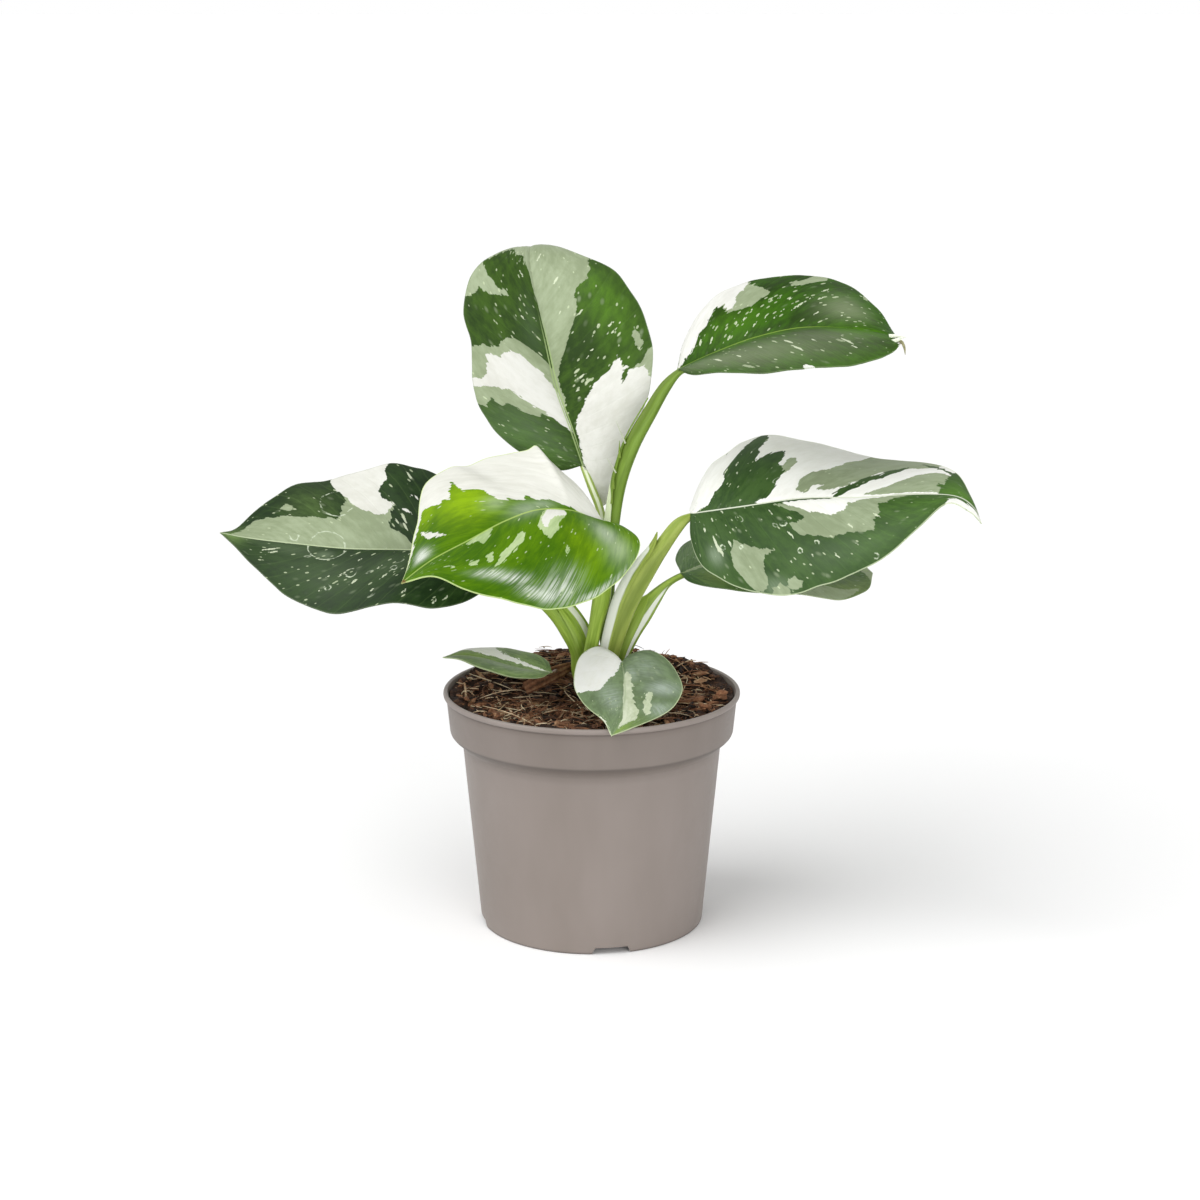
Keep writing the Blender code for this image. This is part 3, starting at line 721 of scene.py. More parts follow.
# %% [markdown]
# ## Bark chips, long fibres and a dried sheath
#
# A few bigger pieces lie on top: flat chips of orange-brown pine bark, long coir fibres,
# and the dried sheath of a leaf that has dropped. Each is a thin tube that follows the
# bumps under it. A chip has a squarish section and splits lengthwise, so ridges run
# along it. A fibre is round and fine, and ends in a point.

# %% Loose pieces
LOOSE_GAP = 0.9      # mm between the lumps of the mix and the underside of a loose piece
# centre x and y, heading in degrees, length, width and thickness in mm, tone
chips = {
    "bark_chip_1": (-25, -8, 10, 9, 4.5, 1.8, 0.66), "bark_chip_2": (40, -6, -25, 12, 5, 2, 0.4),
    "bark_chip_3": (32, 12, 15, 10, 5, 2, 0.3), "bark_chip_4": (-42, -16, 60, 11, 5, 1.8, 0.42),
    "bark_chip_5": (-12, -40, -15, 9, 5, 1.8, 0.36), "bark_chip_6": (45, -26, 70, 8, 4, 1.7, 0.5),
    "bark_chip_7": (-32, 26, 35, 12, 6, 2.2, 0.24), "bark_chip_8": (14, 36, -40, 12, 6, 2.2, 0.3)}
fibres = {
    "coir_fibre_1": (-52, 5, 95, 18, 0.9, 0.8, 0.72),
    "coir_fibre_2": (-34, -14, -70, 32, 0.8, 0.7, 0.8),
    "coir_fibre_3": (44, 14, -55, 24, 0.8, 0.7, 0.68),
    "coir_fibre_4": (-8, -28, 25, 22, 0.9, 0.8, 0.85)}


def loose_piece(name, place, squareness, ridges):
    """A sliver along a heading that follows the mix under it."""
    x, y, heading, length, width, thickness, tone = place
    turn = math.radians(heading)

    def shape(across, along):
        angle, forward = across * math.tau, (along - 0.5) * length
        pinch = np.clip((1 - np.abs(2 * along - 1)) * length / width * 1.2, 0, 1) ** 0.5
        power = 1 / squareness
        wide = np.sign(np.cos(angle)) * np.abs(np.cos(angle)) ** power * width / 2 * pinch
        tall = np.sign(np.sin(angle)) * np.abs(np.sin(angle)) ** power * thickness / 2 * pinch
        rough = np.array([noise.noise(Vector((a * ridges, b * length / 6, x))) for a, b
                          in zip(np.cos(angle) * 1.3 + np.sin(angle), along)])
        wide, tall = wide * (1 + 0.25 * rough), tall * (1 + 0.5 * rough)
        drift = width * 0.8 * np.sin(along * 2.7 + x) if squareness < 1.5 else 0
        middle_x = x + forward * math.cos(turn) - drift * math.sin(turn)
        middle_y = y + forward * math.sin(turn) + drift * math.cos(turn)
        ground = np.array([max(surface_height(a + dx, b) for dx in (-1, 0, 1))
                           for a, b in zip(middle_x, middle_y)])
        return np.stack([middle_x - wide * math.sin(turn), middle_y + wide * math.cos(turn),
                         ground + LOOSE_GAP + thickness / 2 + tall], axis=-1)

    piece, _, _ = shaped_grid(name, 16, max(10, round(length)), shape)
    store(piece, tone=tone)
    weld(piece)
    smooth(piece)
    piece.data.materials.append(mix_material)
    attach(piece, "root")
    return piece


for name, place in chips.items():
    chip = loose_piece(name + "_split", place, 2.4, 5.0)
    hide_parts(name)
for name, place in fibres.items():
    fibre = loose_piece(name + "_fine", place, 1.0, 1.0)
    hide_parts(name)
print("chips and fibres:", len(chips) + len(fibres))


# %% [markdown]
# ## Stalks
#
# A leaf stalk, or petiole, is a firm green rod. Philodendron stalks carry a sheath on
# their lower part: a thin wing that wraps the stalk and ends in a small free tip. Both
# are drawn along one smooth path. The path also has to know which way is sideways, and
# a frame that is passed on from point to point without twisting does that best.

# %% Stalk frames
STATIONS = 160


def stalk_frames(points):
    """Centre, half width, half depth and directions along a stalk, from its points in mm."""
    line = smooth_line(points)
    share = np.linspace(0, 1, STATIONS)
    stations = place_on(line, share)
    centre = stations[:, :3]
    tangent = unit(np.gradient(centre, axis=0))
    front = np.zeros_like(centre)
    carried = np.array((0.0, -1.0, 0.0))
    for i, direction in enumerate(tangent):
        carried = carried - carried.dot(direction) * direction
        carried = carried / np.linalg.norm(carried)
        front[i] = carried
    return {"share": share, "centre": centre, "width": stations[:, 3], "depth": stations[:, 4],
            "front": front, "right": np.cross(tangent, front), "length": line[2]}


def stalk_place(frames, along, degrees, outward=0.0):
    """Places on a stalk: 0 degrees is its right side, 90 its front, 180 its left."""
    def value(name):
        columns = frames[name]
        if columns.ndim == 1:
            return np.interp(along, frames["share"], columns)
        return np.stack([np.interp(along, frames["share"], c) for c in columns.T], axis=-1)

    turn = np.radians(degrees)
    wide, deep = value("width") + outward, value("depth") + outward
    return (value("centre") + value("right") * (wide * np.cos(turn))[:, None]
            + value("front") * (deep * np.sin(turn))[:, None])


straight = stalk_frames([(0, 0, 0, 2, 1), (0, 0, 10, 2, 1), (0, 0, 20, 2, 1)])
print("right side of a straight stalk:",
      stalk_place(straight, np.array([0.5]), np.array([0.0])).round(3).tolist())


# %% [markdown]
# ## Blades
#
# A blade is a thin sheet with a midrib. Three smooth lines give its form: the midrib and
# the left and right margins, as seen from the stalk. A grid is stretched between them,
# with rows that sweep forward as the side veins do. Each half is domed a little, the
# midrib lies in a shallow channel, the tissue swells very slightly between the side
# veins, and the margin waves and wanders as grown things do. Two shares name any place
# on a blade: u from base to tip, and s from -1 at the left margin to 1 at the right one.

# %% Blade surface
SWEEP = 1.5              # above 1, side veins start nearer the base than they end
DOME = 0.07              # how far a half-blade domes, as a share of its width
VEIN_LEAN = 0.15         # how much further side veins lean towards the tip
VEIN_SPACING = 6.5       # mm between side veins
VEIN_SWELL = 0.07        # mm that the tissue swells between them
CHANNEL_DEPTH, CHANNEL_WIDTH = 0.5, 1.0    # mm, of the groove along the midrib
BLADE_THICKNESS = 0.5    # mm


def blade_lines(leaf):
    """The three smooth lines of a blade."""
    base, tip = leaf["midrib"][0], leaf["midrib"][-1]
    return {"midrib": smooth_line(leaf["midrib"]),
            "left": smooth_line([base, *leaf["left"], tip]),
            "right": smooth_line([base, *leaf["right"], tip])}


def blade_place(lines, u, s):
    """Places on the plain blade, the upward direction there, and the half-width."""
    u, s = np.asarray(u, float), np.asarray(s, float)
    calm = np.clip(u, 0.03, 0.97)
    ahead = (place_on(lines["midrib"], calm ** SWEEP + 0.03)
             - place_on(lines["midrib"], calm ** SWEEP - 0.03))
    sideways = place_on(lines["right"], calm) - place_on(lines["left"], calm)
    upward = unit(np.cross(sideways, ahead))
    middle = place_on(lines["midrib"], np.clip(u, 0, 1) ** SWEEP)
    edge = np.where((s < 0)[..., None], place_on(lines["left"], u), place_on(lines["right"], u))
    width = np.linalg.norm(edge - middle, axis=-1)
    reach = np.abs(s)
    dome = 4 * reach * (1 - reach) * DOME * width
    return middle + (edge - middle) * reach[..., None] + upward * dome[..., None], upward, width


def vein_foot(leaf, u, s):
    """Where on the midrib the side vein through a place starts, as a share."""
    return u - leaf["lean"] * np.abs(s)


def blade_shape(lines, leaf):
    """The finished blade as a function of shares across and along."""
    length, wave, seed = lines["midrib"][2], leaf["wave"], leaf["seed"]

    def wander(u, s, size):
        """Soft noise over the blade, with lumps of a size in mm."""
        return np.array([noise.noise(Vector((a * length / size, b * 25 / size, seed)))
                         for a, b in zip(u, s)])

    def shape(across, along):
        s = 2 * across - 1
        points, upward, width = blade_place(lines, along, s)
        middle = place_on(lines["midrib"], along ** SWEEP)
        from_midrib = np.abs(s) * width
        fade = np.clip(np.minimum(along / 0.06, (1 - along) / 0.08), 0, 1)
        channel = -CHANNEL_DEPTH * np.exp(-(from_midrib / CHANNEL_WIDTH) ** 2) * (1 - along) ** 0.5
        swell = (np.sin(math.pi * vein_foot(leaf, along, s) * length / VEIN_SPACING) ** 2
                 * np.sin(math.pi * np.abs(s)) ** 0.5 * VEIN_SWELL)
        waves = (wave * np.abs(s) ** 3
                 * np.sin(math.tau * (along * 3.3 + 0.21 * np.sign(s)) + 1.7 * np.sign(s)))
        lumps = 0.9 * wave * wander(along, s, 13) * np.abs(s) ** 0.5
        ripple = 0.022 * np.abs(s) ** 3 * wander(along, np.sign(s) * 3, 7)
        return (points + upward * ((channel + swell + waves + lumps) * fade)[:, None]
                + (points - middle) * (ripple * fade)[:, None])

    return shape


print("blade helpers ready; side veins every", VEIN_SPACING, "mm")


# %% [markdown]
# ## Variegation as patches
#
# In a variegated leaf some cells carry no green, and they lie in patches that follow the
# side veins. No two leaves are alike, so each patch is drawn as an outline in u and s.
# For every point of the grid the distance in mm to the patch's edge is stored, positive
# inside. Later the material adds noise to that distance before it cuts, which gives a
# crisp edge with ragged teeth at any size. A patch painted later lies on top.

# %% Patch distances
FAR = 60.0      # mm, for a place with no patch near


def inside(outline, u, s):
    """Which places lie within an outline, by counting the edges that they pass."""
    within = np.zeros(len(u), bool)
    for (u1, s1), (u2, s2) in zip(outline, outline[1:] + outline[:1]):
        crosses = (u1 > u) != (u2 > u)
        slope = (s2 - s1) / (u2 - u1) if u2 != u1 else 0
        within ^= crosses & (s < slope * (u - u1) + s1)
    return within


def edge_distance(points, edge):
    """How far points are from a closed line, in mm."""
    nearest = np.full(len(points), FAR)
    for start, end in zip(edge, np.roll(edge, -1, axis=0)):
        leg = end - start
        share = np.clip((points - start) @ leg / max(leg @ leg, 1e-9), 0, 1)
        gap = np.linalg.norm(points - start - share[:, None] * leg, axis=1)
        nearest = np.minimum(nearest, gap)
    return nearest


def paint(fields, patches, locate, u, s, points):
    """Paint patches in turn. A field holds the distance inside its own colour."""
    for kind, outline in patches:
        corners = np.array(outline + outline[:1], float)
        steps = np.linspace(0, len(outline), 4 * len(outline), endpoint=False)
        fine = [np.interp(steps, range(len(corners)), column) for column in corners.T]
        gap = edge_distance(points, locate(*fine))
        signed = np.where(inside(outline, u, s), gap, -gap)
        for name in fields:
            keep = np.maximum if name == kind else np.minimum
            fields[name] = keep(fields[name], signed if name == kind else -signed)
    return fields


square = [(0, 0), (1, 0), (1, 1), (0, 1)]
print("middle of a square is inside it:", inside(square, np.array([0.5]), np.array([0.5])))


# %% [markdown]
# ## Leaf tissue
#
# A living leaf is a waxy skin over spongy green cells. The skin gives a satin gloss.
# The green is not even: broad clouds, small mottles and faint streaks along the veins
# lie over each other, with dust and strokes of pale cells that lack green. Light is
# painted on top of the green: brighter soft patches, a soft painted sheen, and a painted
# sheen broken into fine lines along the veins. Whole patches are sage, where a pale layer
# covers green cells, or cream, where there is no green at all. The midrib and the margin
# are thin pale lines. Water drops have dried on some leaves and left thin broken rings.
# The underside is duller and paler.
#
# The pattern reads a map whose first axis runs across the side veins and whose second
# runs along them, one unit for 100 mm of leaf, so every scale below is a size in mm.

# %% Leaf pattern sizes
MAP_UNIT = 100.0                  # mm of leaf to one unit of the map
# size in mm, stretch along the veins, place on the map, layers of detail
NOISES = {
    "teeth": (2.4, 2.4, 0, 2.0), "fine_teeth": (0.8, 2.6, 7, 2.0),     # ragged edges of patches
    "broad": (24.0, 1.5, 3, 3.0), "mottle": (2.8, 1.5, 13, 4.0), "streaks": (1.8, 9.0, 5, 3.0),
    "lines": (0.62, 16.0, 2, 1.0)}     # fine lines along the veins, drawn coarser than life
# spacing in mm, stretch along the veins, share of cells, size as a share of the spacing
FLECKS = [(1.8, 1.4, 0.8, 0.29), (3.0, 2.2, 0.5, 0.19), (7.0, 2.2, 0.2, 0.12)]
SPOT_SPACING = 3.4                # mm between the soft marks that dust and water leave
DROP_SPACING = 6.5                # mm between dried drops
RIB_WIDTH, RIM_WIDTH = 0.42, 0.34
EDGE = 0.12                       # mm over which a patch's edge is soft
# Three of these stored fields mark areas of painted light and painted sheen
FIELDS = ("cream", "pale", "brown", "ring", "dash", "flecked", "glow", "painted_sheen", "soft_painted_sheen",
          "from_midrib", "from_margin")
SOFT = {"interpolation_type": "SMOOTHSTEP"}
TIMES, PLUS, MINUS, SIZE_OF, TIMES_PLUS, ABOVE = (
    {"operation": kind} for kind in
    ("MULTIPLY", "ADD", "SUBTRACT", "ABSOLUTE", "MULTIPLY_ADD", "GREATER_THAN"))
print("teeth of", NOISES["teeth"][0], "and", NOISES["fine_teeth"][0], "mm")


# %% Patterns and stored fields
def leaf_texture(add, kind, size, stretch, place, output=0, **inputs):
    """A texture over the leaf's map at a size in mm, drawn out along the veins."""
    ratio = MAP_UNIT / size
    spot = add("Mapping", {"Vector": add("UVMap", uv_map="vein_map"), "Location": (place, place, 0),
                           "Scale": (ratio, ratio / stretch, 1)})
    return add(kind, {"Vector": spot, "Scale": 1.0, **inputs}, output)


def leaf_signals(add):
    """All that the layers of a leaf are made from: noises, stored fields and the veins."""
    found = {name: add("Attribute", output="Fac", attribute_name=name) for name in FIELDS}
    for name, (size, stretch, place, detail) in NOISES.items():
        found[name] = leaf_texture(add, "TexNoise", size, stretch, place, Detail=detail,
                                   Roughness=0.6)
    # Clouds, mottles and streaks in one number, mostly between 0.45 and 0.9
    cloud = add("Math", (found["broad"], 0.7), **TIMES)
    cloud = add("Math", (found["streaks"], 0.2, cloud), **TIMES_PLUS)
    found["cloud"] = add("Math", (found["mottle"], 0.55, cloud), **TIMES_PLUS)
    # The noise that tears a patch's edge, in mm. It calms down at the midrib
    ragged = add("Math", (found["teeth"], 3.6, -2.55), **TIMES_PLUS)
    ragged = add("Math", (found["fine_teeth"], 1.5, ragged), **TIMES_PLUS)
    calm = add("MapRange", (found["from_midrib"], 0.2, 2.5, 0.15, 1.0), **SOFT)
    found["ragged"] = add("Math", (ragged, calm), **TIMES)
    # How far a place is along the row of side veins, and the veins themselves
    found["across"] = add("SeparateXYZ", (add("UVMap", uv_map="vein_map"),), "X")
    bend = add("Math", (found["teeth"], 1.2, -0.6), **TIMES_PLUS)
    phase = add("Math", (found["across"], MAP_UNIT, bend), **TIMES_PLUS)
    phase = add("Math", (phase, VEIN_SPACING / 2), operation="PINGPONG")
    found["vein"] = add("MapRange", (phase, 0.08, 0.4, 1.0, 0.0), **SOFT)
    return found


print("fields stored on a leaf:", len(FIELDS))


# %% Layers of green and painted light
def green_layers(add, leaf, found):
    """Clouds, painted light, side veins, a soft painted sheen and a painted sheen in fine lines, as
    (share, colour) pairs.
    """
    _, mid, bright, painted_sheen = (linear(green) for green in leaf["greens"])
    cloud = found["cloud"]
    # Painted light: soft patches made brighter, more where the clouds are light
    glow = add("Math", (found["glow"], add("MapRange", (cloud, 0.5, 0.85, 0.45, 1.0), **SOFT)),
               use_clamp=True, **TIMES)
    # Painted sheen, soft and in fine lines along the veins, in the leaf's fourth colour
    soft_painted_sheen = add("Math", (found["soft_painted_sheen"], add("MapRange", (cloud, 0.45, 0.8, 0.6, 1.0), **SOFT)),
               **TIMES)
    sheen_lines = add("MapRange", (found["lines"], 0.44, 0.57, leaf["sheen_lines"], 1.0), **SOFT)
    return [(add("MapRange", (cloud, 0.58, 0.87), **SOFT), mid), (glow, bright),
            (add("Math", (found["vein"], 0.07), **TIMES), bright), (soft_painted_sheen, painted_sheen),
            (add("Math", (found["painted_sheen"], sheen_lines), **TIMES), painted_sheen)]


def mark_layers(add, leaf):
    """Soft marks of dried water and dust."""
    marks = leaf_texture(add, "TexVoronoi", SPOT_SPACING, 1.2, 31, "Distance")
    amount = add("SeparateColor", (marks.node.outputs["Color"],), "Green")
    amount = add("MapRange", (amount, 0.45, 1.0, 0.0, leaf["marks"]), **SOFT)
    spot = add("MapRange", (marks, 0.06, 0.34, 1.0, 0.0), **SOFT)
    return [(add("Math", (spot, amount), **TIMES), linear("#a3b090"))]


print("a leaf has four greens, in this order: dark, middle, bright and silver")


# %% Layers of pale cells
def patch_layer(add, leaf, found, field, shades, low):
    """A patch of two shades, cut where its distance plus the ragged noise is above nothing."""
    mask = add("Math", (found[field], found["ragged"]), **PLUS)
    cloud = add("MapRange", (found["cloud"], low, 0.9), **SOFT)
    shade = add("Mix", {0: cloud, 6: linear(leaf[shades][0]), 7: linear(leaf[shades][1])}, 2,
                data_type="RGBA")
    return [(add("MapRange", (mask, -EDGE, EDGE), **SOFT), shade)]


def fleck_layers(add, leaf, found):
    """Some cells of a Voronoi pattern at three sizes, and the dashes listed for the leaf."""
    layers = []
    density = add("MapRange", (found["broad"], 0.35, 0.65, 0.6, 1.15), **SOFT)
    density = add("Math", (found["flecked"], density), **TIMES)
    for number, (spacing, stretch, share, size) in enumerate(FLECKS):
        cells = leaf_texture(add, "TexVoronoi", spacing, stretch, 11 + number, "Distance")
        chance = add("SeparateColor", (cells.node.outputs["Color"],), "Red")
        threshold = add("Math", (density, -share, 1.0), **TIMES_PLUS)
        excess = add("Math", (chance, threshold), **MINUS)
        grown = add("MapRange", (excess, 0.0, 0.35, size * 0.6 * leaf["speck"],
                                 size * leaf["speck"]), **SOFT)
        fleck = add("MapRange", (add("Math", (grown, cells), **MINUS), -0.03, 0.04), **SOFT)
        chosen = add("Math", (fleck, add("Math", (chance, threshold), **ABOVE)), **TIMES)
        layers.append((add("Math", (chosen, 0.6 + 0.15 * number), **TIMES), linear("#d2deb8")))
    dash = add("Math", (add("Math", (found["fine_teeth"], -0.5), **PLUS), found["dash"]), **PLUS)
    dash = add("MapRange", (dash, -0.07, 0.07), **SOFT)
    return layers + [(add("Math", (dash, 0.8), **TIMES), linear("#dde6c8"))]


def drop_layers(add, leaf, found):
    """Dried drops: thin broken rings, some at random and some at listed places."""
    drops = leaf_texture(add, "TexVoronoi", DROP_SPACING, 1.1, 23, "Distance")
    tint = add("SeparateColor", (drops.node.outputs["Color"],), "Green")
    radius = add("Math", (tint, 0.17, 0.07), **TIMES_PLUS)
    gap = add("Math", (add("Math", (drops, radius), **MINUS),), **SIZE_OF)
    chosen = add("Math", (tint.node.outputs["Red"], 1 - leaf["drops"]), **ABOVE)
    ring = add("Math", (add("MapRange", (gap, 0.01, 0.04, 0.5, 0.0), **SOFT), chosen), **TIMES)
    wander = add("Math", (found["ring"], -1.2), **PLUS)
    wander = add("Math", (found["teeth"], 2.4, wander), **TIMES_PLUS)
    placed = add("MapRange", (add("Math", (wander,), **SIZE_OF), 0.1, 0.4, 0.95, 0.0), **SOFT)
    ring = add("Math", (ring, placed), operation="MAXIMUM")
    broken = add("MapRange", (found["mottle"], 0.42, 0.56), **SOFT)
    return [(add("Math", (ring, broken), **TIMES), linear("#cfdac0"))]


print("flecks come in", len(FLECKS), "sizes, up to", FLECKS[-1][0], "mm apart")


# %% Midrib, margin and tip
def line_layers(add, leaf, found):
    """The pale midrib and margin, and brown where the leaf has dried."""
    rib_colour, rib_strength, rib_gap, rib_end = leaf["rib_line"]
    fading = add("MapRange", (found["across"], 0.0, rib_end * leaf["length"] / MAP_UNIT, 1.0, 0.0))
    beside = add("Math", (add("Math", (found["from_midrib"], rib_gap), **MINUS),), **SIZE_OF)
    rib = add("MapRange", (beside, RIB_WIDTH * 0.5, RIB_WIDTH, 1.0, 0.0), **SOFT)
    rib = add("Math", (rib, add("MapRange", (fading, 0.0, 0.25), **SOFT)), **TIMES)
    rim_colour, rim_strength = leaf["rim"]
    rim = add("MapRange", (found["from_margin"], RIM_WIDTH * 0.6, RIM_WIDTH * 1.4, 1.0, 0.0),
              **SOFT)
    brown = add("Math", (found["brown"], found["ragged"]), **PLUS)
    return [(add("Math", (rib, rib_strength), **TIMES), linear(rib_colour)),
            (add("Math", (rim, rim_strength), **TIMES), linear(rim_colour)),
            (add("MapRange", (brown, -0.6, 0.6), **SOFT), linear("#75522f"))]


print("midrib and margin are", RIB_WIDTH, "and", RIM_WIDTH, "mm wide")


# %% Leaf material
def leaf_material(leaf, underside=False):
    """Variegated leaf tissue for one leaf, from its own greens, flecks, rib and rim."""
    material, add = new_material(leaf["title"] + (" underside" if underside else " tissue"))
    found = leaf_signals(add)
    layers = (green_layers(add, leaf, found) + mark_layers(add, leaf)
              + patch_layer(add, leaf, found, "pale", "sage", 0.55)
              + fleck_layers(add, leaf, found) + drop_layers(add, leaf, found)
              + patch_layer(add, leaf, found, "cream", "cream", 0.5)
              + line_layers(add, leaf, found))
    if underside:
        layers.append((0.35, linear("#b3c29e")))
    colour = linear(leaf["greens"][0])
    for share, shade in layers:
        colour = add("Mix", {0: share, 6: colour, 7: shade}, 2, data_type="RGBA")
    relief = add("Math", (found["lines"], 0.12, add("Math", (found["mottle"], 0.8), **TIMES)),
                 **TIMES_PLUS)
    relief = add("Math", (add("Math", (found["vein"], -0.4), **TIMES), relief), **PLUS)
    bump = add("Bump", {"Height": relief, "Strength": 0.5, "Distance": 0.16 * MM})
    dull, duller = (0.55, 0.7) if underside else (0.33, 0.47)
    gloss = add("MapRange", (found["mottle"], 0.3, 0.7, dull, duller), **SOFT)
    skin = add("BsdfPrincipled", {"Base Color": colour, "Roughness": gloss, "IOR": 1.42,
                                  "Specular IOR Level": leaf["shine"], "Normal": bump})
    through = add("BsdfTranslucent", {"Color": colour, "Normal": bump})
    add("OutputMaterial", {"Surface": add("MixShader", (0.14, skin, through))})
    return material


print("a leaf takes two of these, for its upper face and its underside")


# %% [markdown]
# ## Stalk tissue
#
# The stalks are yellow-green, streaked lengthwise by the strands that carry water. The
# variegation runs into them as long white stripes. The map's first axis runs round the
# stalk and its second along it, so the noise is stretched along the second.

# %% Stalk material
def stalk_material(name, shade, light, pale):
    """Green stalk tissue with lengthwise streaks and stripes."""
    material, add = new_material(name)
    strands, fine = (leaf_texture(add, "TexNoise", size, stretch, 0, Detail=3.0, Roughness=0.6)
                     for size, stretch in ((2.4, 14.0), (0.6, 22.0)))
    stripe, olive = (add("Attribute", output="Fac", attribute_name=field)
                     for field in ("stripe", "olive"))
    torn = add("Math", (stripe, add("Math", (strands, 1.6, -0.8), **TIMES_PLUS)), **PLUS)
    layers = [(add("MapRange", (strands, 0.32, 0.68), **SOFT), light),
              (add("MapRange", (torn, -0.25, 0.25), **SOFT), pale),
              (add("Math", (olive, fine), use_clamp=True, **TIMES), "#6d7c35")]
    colour = linear(shade)
    for share, tone in layers:
        colour = add("Mix", {0: share, 6: colour, 7: linear(tone)}, 2, data_type="RGBA")
    relief = add("Bump", {"Height": fine, "Strength": 0.4, "Distance": 0.2 * MM})
    skin = add("BsdfPrincipled", {"Base Color": colour, "Roughness": 0.38, "IOR": 1.42,
                                  "Specular IOR Level": 0.25, "Normal": relief})
    add("OutputMaterial", {"Surface": skin})
    return material


stalk_tissue = stalk_material("streaked stalk tissue", "#64802a", "#86a53c", "#eaefdc")
print("stalk material:", stalk_tissue.name)


# %% [markdown]
# ## Building one leaf
#
# A leaf grows as one piece: the stalk runs on under the blade as its midrib, and the
# sheath is part of the stalk. So blade, stalk and sheath are shaped one after another
# and joined. The blade gets its real thickness of half a millimetre from Solidify, with
# a second material for the underside. The stalk's foot leans in to clasp the stem.

# %% Blade fields
BRIDGE = 8.0      # mm over which the distances of two pale patches are rounded together
DASH_WIDTH, DASH_GROWTH = 0.24, 0.05     # mm of half-width, and more for each mm of length
DASH_TAPER = 0.7                         # share of its width that a dash loses at its ends
# The fields of painted light and painted sheen, each a list of soft round areas
PAINTED_LIGHTS = ("glow", "painted_sheen", "soft_painted_sheen")
# What a leaf has unless it says something else
LEAF_DEFAULTS = {
    "sage": ("#929f7d", "#a9b695"), "stalk_greens": ("#7f9c33", "#a9c455", "#eaefdc"),
    "shine": 0.2, "speck": 1.0, "sheen_lines": 0.85, "drops": 0.0, "lean": VEIN_LEAN,
    "bridge": BRIDGE, "clasps": True, "glow": [], "painted_sheen": [], "soft_painted_sheen": [], "fleck_zones": [],
    "rings": [], "dashes": [], "stripes": [], "olive": [], "extras": []}
SHEATH_DEFAULTS = {"narrowing": 4, "sharpness": 4, "lip": 0, "olive": []}


def whole_tip(kind, start):
    """A patch over the full width of a blade, from a share of its length to its tip."""
    return kind, [(start, -1.05), (1, -1.05), (1, 1.05), (start, 1.05)]


def soft_field(u, s, spots):
    """Soft round areas, each given as centre u, s, reach in u and s, and strength."""
    total = np.zeros(len(u))
    for u0, s0, reach_u, reach_s, strength in spots:
        total = np.maximum(total, strength * np.exp(-((u - u0) / reach_u) ** 2
                                                    - ((s - s0) / reach_s) ** 2))
    return total


def pale_field(sage, cream, green, bridge):
    """One distance for sage and cream, rounded where they meet so that no green shows."""
    share = np.clip(0.5 + 0.5 * (sage - cream) / bridge, 0, 1)
    pale = cream + (sage - cream) * share + bridge * share * (1 - share)
    return np.minimum(pale, -green)


def ring_field(lines, points, rings):
    """How far points are outside the nearest ring, in mm."""
    nearest = np.full(len(points), FAR)
    for u, s, radius in rings:
        gap = np.linalg.norm(points - blade_place(lines, [u], [s])[0], axis=1) - radius
        nearest = np.where(np.abs(gap) < np.abs(nearest), gap, nearest)
    return nearest


def dash_field(lines, points, dashes, lean):
    """How far points are inside a dash, in mm. A dash lies along the side veins."""
    deepest = np.full(len(points), -FAR)
    for u, s, length in dashes:
        half = length / 2 / blade_place(lines, [u], [s])[2][0]
        ends = np.array([s - half, s + half])
        start, end = blade_place(lines, u + lean * (np.abs(ends) - abs(s)), ends)[0]
        leg = end - start
        share = np.clip((points - start) @ leg / (leg @ leg), 0, 1)
        gap = np.linalg.norm(points - start - share[:, None] * leg, axis=1)
        thick = (DASH_WIDTH + DASH_GROWTH * length) * (1 - DASH_TAPER * (2 * share - 1) ** 2)
        deepest = np.maximum(deepest, thick - gap)
    return deepest


print("a dash of 4 mm is", round(2 * (DASH_WIDTH + DASH_GROWTH * 4), 2), "mm wide")


# %% Blade builder
MAP_REACH = 0.35      # map units from the midrib to either margin


def make_blade(name, leaf, lines):
    """A thin blade with its patches stored on it."""
    length, rows = lines["midrib"][2], leaf["rows"]
    blade, across, along = shaped_grid(
        name, 2 * round(rows / 4), rows, blade_shape(lines, leaf), "vein_map",
        lambda a, b: (vein_foot(leaf, b, 2 * a - 1) * length / MAP_UNIT,
                      (2 * a - 1) * MAP_REACH))
    u, s = along, 2 * across - 1
    points, _, width = blade_place(lines, u, s)
    fields = {kind: np.full(len(u), -FAR) for kind in ("sage", "cream", "green", "brown")}
    paint(fields, leaf["patches"], lambda a, b: blade_place(lines, a, b)[0], u, s, points)
    store(blade, cream=fields["cream"], brown=fields["brown"],
          pale=pale_field(fields["sage"], fields["cream"], fields["green"], leaf["bridge"]),
          ring=ring_field(lines, points, leaf["rings"]),
          dash=dash_field(lines, points, leaf["dashes"], leaf["lean"]),
          from_midrib=np.abs(s) * width, from_margin=(1 - np.abs(s)) * width,
          flecked=np.maximum(leaf["flecks"], soft_field(u, s, leaf["fleck_zones"])),
          **{painted_light: soft_field(u, s, leaf[painted_light]) for painted_light in PAINTED_LIGHTS})
    for underside in (False, True):
        blade.data.materials.append(leaf_material({**leaf, "length": length}, underside))
    weld(blade, closed=False)
    return thicken(blade, BLADE_THICKNESS, -1, back_material=1)


print("a blade is", BLADE_THICKNESS, "mm thick")


